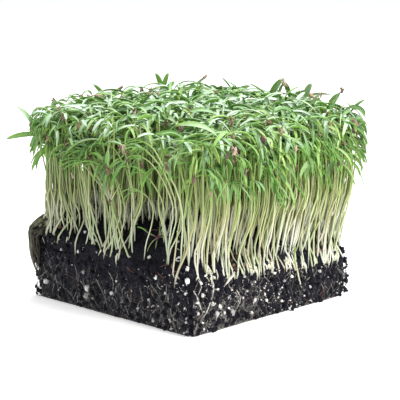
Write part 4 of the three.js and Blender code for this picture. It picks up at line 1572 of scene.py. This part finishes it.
def leaf_end(point):
    """A frame that points straight up, for a husk that sits on a knot."""
    return Vector(point), Vector((1, 0, 0)), Vector((0, 1, 0)), Vector((0, 0, 1))


def build_weed(sizes, finish):
    """A small seedling of another kind: thin branches from a purple knot."""
    draw = seeded_draw(WEED_SEED)
    bm = new_mesh()
    knot = Vector(WEED_KNOT)
    tube, grain = tube_shape(4, STEM_STEPS, "weed_shape"), grain_shape(2, "weed_knot_shape")
    for heading, length, first, last in WEED_BRANCHES:
        leaf = pitched_leaf(draw, heading, length, first, last, 0.3)
        line = [frame[0] for frame in leaf.frames(knot)][::2]
        taper = lambda share: 0.34 - 0.16 * share
        add_tube(bm, tube, STEM_STEPS, line, Vector((0, 1, 0)), taper, draw(0, 0.5))
    add_grain(bm, grain, knot, 1.2, draw, 0.5)
    leaf = pitched_leaf(draw, 195, 6, 20, 0, 1.1)
    add_leaf(bm, leaf_shape(), leaf, knot + Vector((-7, -2, 3)), sizes.leaf_thickness / MM, 0.4)
    finish_piece("odd_seedling", bm, [weed_material(), leaf_material(finish)])


def build_tufts(sizes, finish):
    shapes = (tube_shape(5, STEM_STEPS, "stem_shape"), leaf_shape(), husk_shape())
    materials = [stem_material(finish), leaf_material(finish), husk_material(finish)]
    stems = main_stems()
    extras = extra_seedlings(stems, sizes.extra_seedlings)
    for cell in range(len(CENTRES)):
        own = [stem for stem in stems if stem.cell == cell]
        draw = seeded_draw(TEAR_SEED + cell)
        bm = new_mesh()
        for seedling in main_tuft(own, cell) + extras[cell]:
            add_seedling(bm, shapes, seedling, sizes, draw)
        name = f"{cell + 1:02d}"
        finish_piece("seedlings_" + name, bm, materials, ["tuft_" + name])


# ---- Stage: metres, degrees and watts ----
FLOOR_HALF = 6
LAMP_DISTANCE = 1.1


def build_stage(stage):
    bm = bmesh.new()
    bmesh.ops.create_grid(bm, x_segments=1, y_segments=1, size=FLOOR_HALF)
    mesh = bpy.data.meshes.new("floor")
    bm.to_mesh(mesh)
    bm.free()
    mesh.materials.append(floor_material(stage))
    add_object("floor", mesh)

    bpy.context.scene.view_settings.view_transform = "Standard"
    world = bpy.data.worlds.new("studio")
    bpy.context.scene.world = world
    world.use_nodes = True
    nodes, links = world.node_tree.nodes, world.node_tree.links
    backdrop = nodes["Background"]
    backdrop.inputs["Color"].default_value = (0.97, 0.985, 1.0, 1)
    path, strength = nodes.new("ShaderNodeLightPath"), nodes.new("ShaderNodeMapRange")
    strength.inputs["To Min"].default_value = stage.fill
    strength.inputs["To Max"].default_value = 1.0
    links.new(path.outputs["Is Camera Ray"], strength.inputs["Value"])
    links.new(strength.outputs[0], backdrop.inputs["Strength"])

    aim = Vector(stage.aim)
    for name, azimuth, elevation, size, power in (
        ("key_light", 12, 42, 0.5, stage.key),
        ("front_light", -62, 28, 0.9, stage.front),
        ("top_light", 100, 72, 0.8, stage.top),
    ):
        lamp = bpy.data.lights.new(name, "AREA")
        lamp.size = size
        lamp.energy = power
        lamp.color = (1.0, 0.985, 0.96)
        place_looking(add_object(name, lamp), aim, azimuth, elevation, LAMP_DISTANCE)

    lens = bpy.data.cameras.new("camera")
    lens.lens = stage.lens
    lens.sensor_width = 36
    lens.clip_start = 0.05
    lens.clip_end = 50
    camera = add_object("camera", lens)
    place_looking(camera, aim, math.degrees(stage.azimuth), math.degrees(stage.elevation), stage.distance)
    bpy.context.scene.camera = camera


def place_looking(thing, aim, azimuth, elevation, distance):
    """Puts a lamp or a camera round the aim point, and points it there. Azimuth 0 is on +X."""
    a, e = math.radians(azimuth), math.radians(elevation)
    back = Vector((math.cos(e) * math.cos(a), math.cos(e) * math.sin(a), math.sin(e)))
    thing.location = aim + back * distance
    thing.rotation_euler = (-back).to_track_quat("-Z", "Y").to_euler()


# ---- What can be set ----


def count_property(name, description, default):
    return IntProperty(name=name, description=description, default=default, min=0)


def share_property(name, description):
    return FloatProperty(name=name, description=description, default=1.0, subtype="FACTOR")


def length_property(name, description, default, **limits):
    # Five digits, since the sizes are parts of a millimetre.
    size = {"default": default, "precision": 5, "subtype": "DISTANCE", "unit": "LENGTH"}
    return FloatProperty(name=name, description=description, **size, **limits)


def colour_property(name, description, default):
    span = {"size": 3, "min": 0, "max": 1}
    return FloatVectorProperty(name=name, description=description, default=default, subtype="COLOR", **span)


def power_property(name, description, default):
    return FloatProperty(name=name, description=description, default=default, unit="POWER", subtype="POWER")


def angle_property(name, description, degrees):
    turn = {"default": math.radians(degrees), "subtype": "ANGLE", "unit": "ROTATION"}
    return FloatProperty(name=name, description=description, **turn)


class MicrogreensSoil(bpy.types.PropertyGroup):
    relief: length_property("Relief", "How far the clods of the soil stand out", 0.0011, min=0, max=0.003)
    crumbs: count_property("Crumbs", "Loose crumbs on the soil", 4400)
    perlite_chips: count_property("Perlite chips", "Small chips of perlite, besides the large grains", 1300)
    fine_roots: count_property("Fine roots", "Fine roots on the sides, besides the thick ones", 560)
    # Dark strands at one corner: roots and worn stems, and painted shade beside the corner.
    strands: count_property("Strands", "Strands that hang down one corner", 64)
    fibres: count_property("Fibres", "Coir fibres on the soil", 170)


class MicrogreensSeedlings(bpy.types.PropertyGroup):
    extra_seedlings: count_property("Extra seedlings", "Seedlings between the main ones", 1700)
    stem_thickness: share_property("Stem thickness", "A factor on every stem's radius")
    leaf_width: share_property("Leaf width", "A factor on every seed leaf's width")
    leaf_thickness: length_property(
        "Leaf thickness", "How thick the seed leaves are", 0.00032, min=0.0001, max=0.001
    )


class MicrogreensFinish(bpy.types.PropertyGroup):
    leaf_deep: colour_property("Deep green", "The darkest seed leaves", (0.062, 0.18, 0.028))
    leaf_fresh: colour_property("Fresh green", "Most seed leaves", (0.148, 0.335, 0.052))
    # A bloom and a painted highlight: laid on the leaves that face up.
    leaf_bloom_and_highlight: colour_property("Leaf bloom", "The bloom on leaves that face up", (0.5, 0.61, 0.54))
    leaf_pale: colour_property("Pale green", "The lightest seed leaves and the midribs", (0.31, 0.475, 0.1))
    stem_foot: colour_property("Stem foot", "Stems near the soil", (0.66, 0.665, 0.59))
    stem_middle: colour_property("Stem middle", "Stems half way up", (0.47, 0.475, 0.235))
    stem_top: colour_property("Stem top", "Stems near the leaves", (0.18, 0.32, 0.035))
    # Painted shade: the colour that the stems take on towards -X.
    stem_painted_shade: colour_property("Shaded stem", "Stems that grew in the shade", (0.27, 0.33, 0.14))
    husk_dark: colour_property("Dark husk", "The darkest parts of the husks", (0.08, 0.05, 0.042))
    husk_pale: colour_property("Pale husk", "The lightest parts of the husks", (0.62, 0.49, 0.39))
    soil_dark: colour_property("Dark soil", "The darkest soil", (0.0035, 0.0035, 0.006))
    soil_light: colour_property("Light soil", "The lighter soil", (0.0082, 0.008, 0.0155))
    perlite: colour_property("Perlite", "Clean perlite", (0.85, 0.84, 0.81))
    root: colour_property("Root", "Clean roots", (0.66, 0.63, 0.57))
    fibre: colour_property("Fibre", "The reddest coir fibres", (0.24, 0.1, 0.07))


class MicrogreensStage(bpy.types.PropertyGroup):
    floor: colour_property("Floor", "The floor's colour", (0.92, 0.92, 0.92))
    floor_glow: FloatProperty(name="Floor glow", description="Lifts the floor to white", default=0.45)
    fill: FloatProperty(name="Fill", description="The strength of the light from all round", default=0.6)
    key: power_property("Key light", "The lamp on the right", 13.5)
    front: power_property("Front light", "The lamp in front", 1.3)
    top: power_property("Top light", "The lamp above", 15.5)
    lens: FloatProperty(name="Lens", description="The camera's focal length in millimetres", default=141.7)
    distance: length_property("Distance", "From the camera to the middle of the object", 0.9)
    azimuth: angle_property("Azimuth", "The camera's angle round the object", -45.3)
    elevation: angle_property("Elevation", "The camera's angle above the floor", 11)
    aim: FloatVectorProperty(
        name="Aim",
        description="Where the camera and the lamps point",
        default=(0.00361, 0.00365, 0.0558),
        subtype="TRANSLATION",
        unit="LENGTH",
        precision=5,
    )


def group_property(group, name, description):
    return PointerProperty(type=group, name=name, description=description)


class MicrogreensSettings(bpy.types.PropertyGroup):
    soil: group_property(MicrogreensSoil, "Soil", "The soil's sizes and counts")
    seedlings: group_property(MicrogreensSeedlings, "Seedlings", "The seedlings' sizes and counts")
    finish: group_property(MicrogreensFinish, "Finish", "The colours")
    stage: group_property(MicrogreensStage, "Stage", "Floor, light and camera")


# ---- Operators and the panel ----


class MICROGREENS_OT_soil(bpy.types.Operator):
    """Build the block of potting mix"""

    bl_idname = "microgreens.soil"
    bl_label = "Soil Block"

    def execute(self, context):
        settings = context.scene.microgreens
        build_soil(settings.soil, settings.finish)
        return {"FINISHED"}


class MICROGREENS_OT_crumbs(bpy.types.Operator):
    """Scatter loose crumbs over the soil"""

    bl_idname = "microgreens.crumbs"
    bl_label = "Soil Crumbs"

    def execute(self, context):
        settings = context.scene.microgreens
        build_crumbs(settings.soil, settings.finish)
        return {"FINISHED"}


class MICROGREENS_OT_perlite(bpy.types.Operator):
    """Set white grains of perlite in the soil"""

    bl_idname = "microgreens.perlite"
    bl_label = "Perlite"

    def execute(self, context):
        settings = context.scene.microgreens
        build_perlite(settings.soil, settings.finish)
        return {"FINISHED"}


class MICROGREENS_OT_roots(bpy.types.Operator):
    """Run thick and fine roots down the sides of the soil"""

    bl_idname = "microgreens.roots"
    bl_label = "Roots"

    def execute(self, context):
        settings = context.scene.microgreens
        build_roots(settings.soil, settings.finish)
        return {"FINISHED"}


class MICROGREENS_OT_fibres(bpy.types.Operator):
    """Lay strands of coir on the soil"""

    bl_idname = "microgreens.fibres"
    bl_label = "Coir Fibres"

    def execute(self, context):
        settings = context.scene.microgreens
        build_fibres(settings.soil, settings.finish)
        return {"FINISHED"}


class MICROGREENS_OT_seedlings(bpy.types.Operator):
    """Grow the seedlings, tuft by tuft"""

    bl_idname = "microgreens.seedlings"
    bl_label = "Seedlings"

    def execute(self, context):
        settings = context.scene.microgreens
        build_tufts(settings.seedlings, settings.finish)
        return {"FINISHED"}


class MICROGREENS_OT_strays(bpy.types.Operator):
    """Grow the long seedlings that arch out over one side"""

    bl_idname = "microgreens.strays"
    bl_label = "Arching Seedlings"

    def execute(self, context):
        settings = context.scene.microgreens
        build_strays(settings.seedlings, settings.finish)
        return {"FINISHED"}


class MICROGREENS_OT_weed(bpy.types.Operator):
    """Grow the small odd seedling in the clearing"""

    bl_idname = "microgreens.weed"
    bl_label = "Odd Seedling"

    def execute(self, context):
        settings = context.scene.microgreens
        build_weed(settings.seedlings, settings.finish)
        return {"FINISHED"}


class MICROGREENS_OT_strands(bpy.types.Operator):
    """Hang the loose strands down one corner of the soil, dark enough to be painted shade there too"""

    bl_idname = "microgreens.strands"
    bl_label = "Corner Strands"

    def execute(self, context):
        build_corner_strands_and_shadow(context.scene.microgreens.soil)
        return {"FINISHED"}


class MICROGREENS_OT_stage(bpy.types.Operator):
    """Lay the floor, and set the light and the camera"""

    bl_idname = "microgreens.stage"
    bl_label = "Floor, Light and Camera"

    def execute(self, context):
        build_stage(context.scene.microgreens.stage)
        return {"FINISHED"}


class MICROGREENS_PT_panel(bpy.types.Panel):
    """Lists the pieces that can be built, and their sizes and colours"""

    bl_idname = "MICROGREENS_PT_panel"
    bl_label = "Microgreens Block"
    bl_space_type = "VIEW_3D"
    bl_region_type = "UI"
    bl_category = "Microgreens"

    def draw(self, context):
        settings = context.scene.microgreens
        for group in (settings.soil, settings.seedlings, settings.finish, settings.stage):
            box = self.layout.box()
            for name in group.bl_rna.properties.keys():
                if name not in {"rna_type", "name"}:
                    box.prop(group, name)
        for operator in OPERATORS:
            self.layout.operator(operator.bl_idname)


OPERATORS = (
    MICROGREENS_OT_stage,
    MICROGREENS_OT_soil,
    MICROGREENS_OT_crumbs,
    MICROGREENS_OT_perlite,
    MICROGREENS_OT_roots,
    MICROGREENS_OT_fibres,
    MICROGREENS_OT_seedlings,
    MICROGREENS_OT_strays,
    MICROGREENS_OT_weed,
    MICROGREENS_OT_strands,
)
CLASSES = (
    MicrogreensSoil,
    MicrogreensSeedlings,
    MicrogreensFinish,
    MicrogreensStage,
    MicrogreensSettings,
    *OPERATORS,
    MICROGREENS_PT_panel,
)


def register():
    for cls in CLASSES:
        bpy.utils.register_class(cls)
    settings = group_property(MicrogreensSettings, "Microgreens", "The microgreens block's settings")
    bpy.types.Scene.microgreens = settings


def unregister():
    del bpy.types.Scene.microgreens
    for cls in reversed(CLASSES):
        bpy.utils.unregister_class(cls)


def main():
    register()
    bpy.ops.microgreens.stage()
    bpy.ops.microgreens.soil()
    bpy.ops.microgreens.crumbs()
    bpy.ops.microgreens.perlite()
    bpy.ops.microgreens.roots()
    bpy.ops.microgreens.fibres()
    bpy.ops.microgreens.seedlings()
    bpy.ops.microgreens.strays()
    bpy.ops.microgreens.weed()
    bpy.ops.microgreens.strands()


if __name__ == "__main__":
    main()
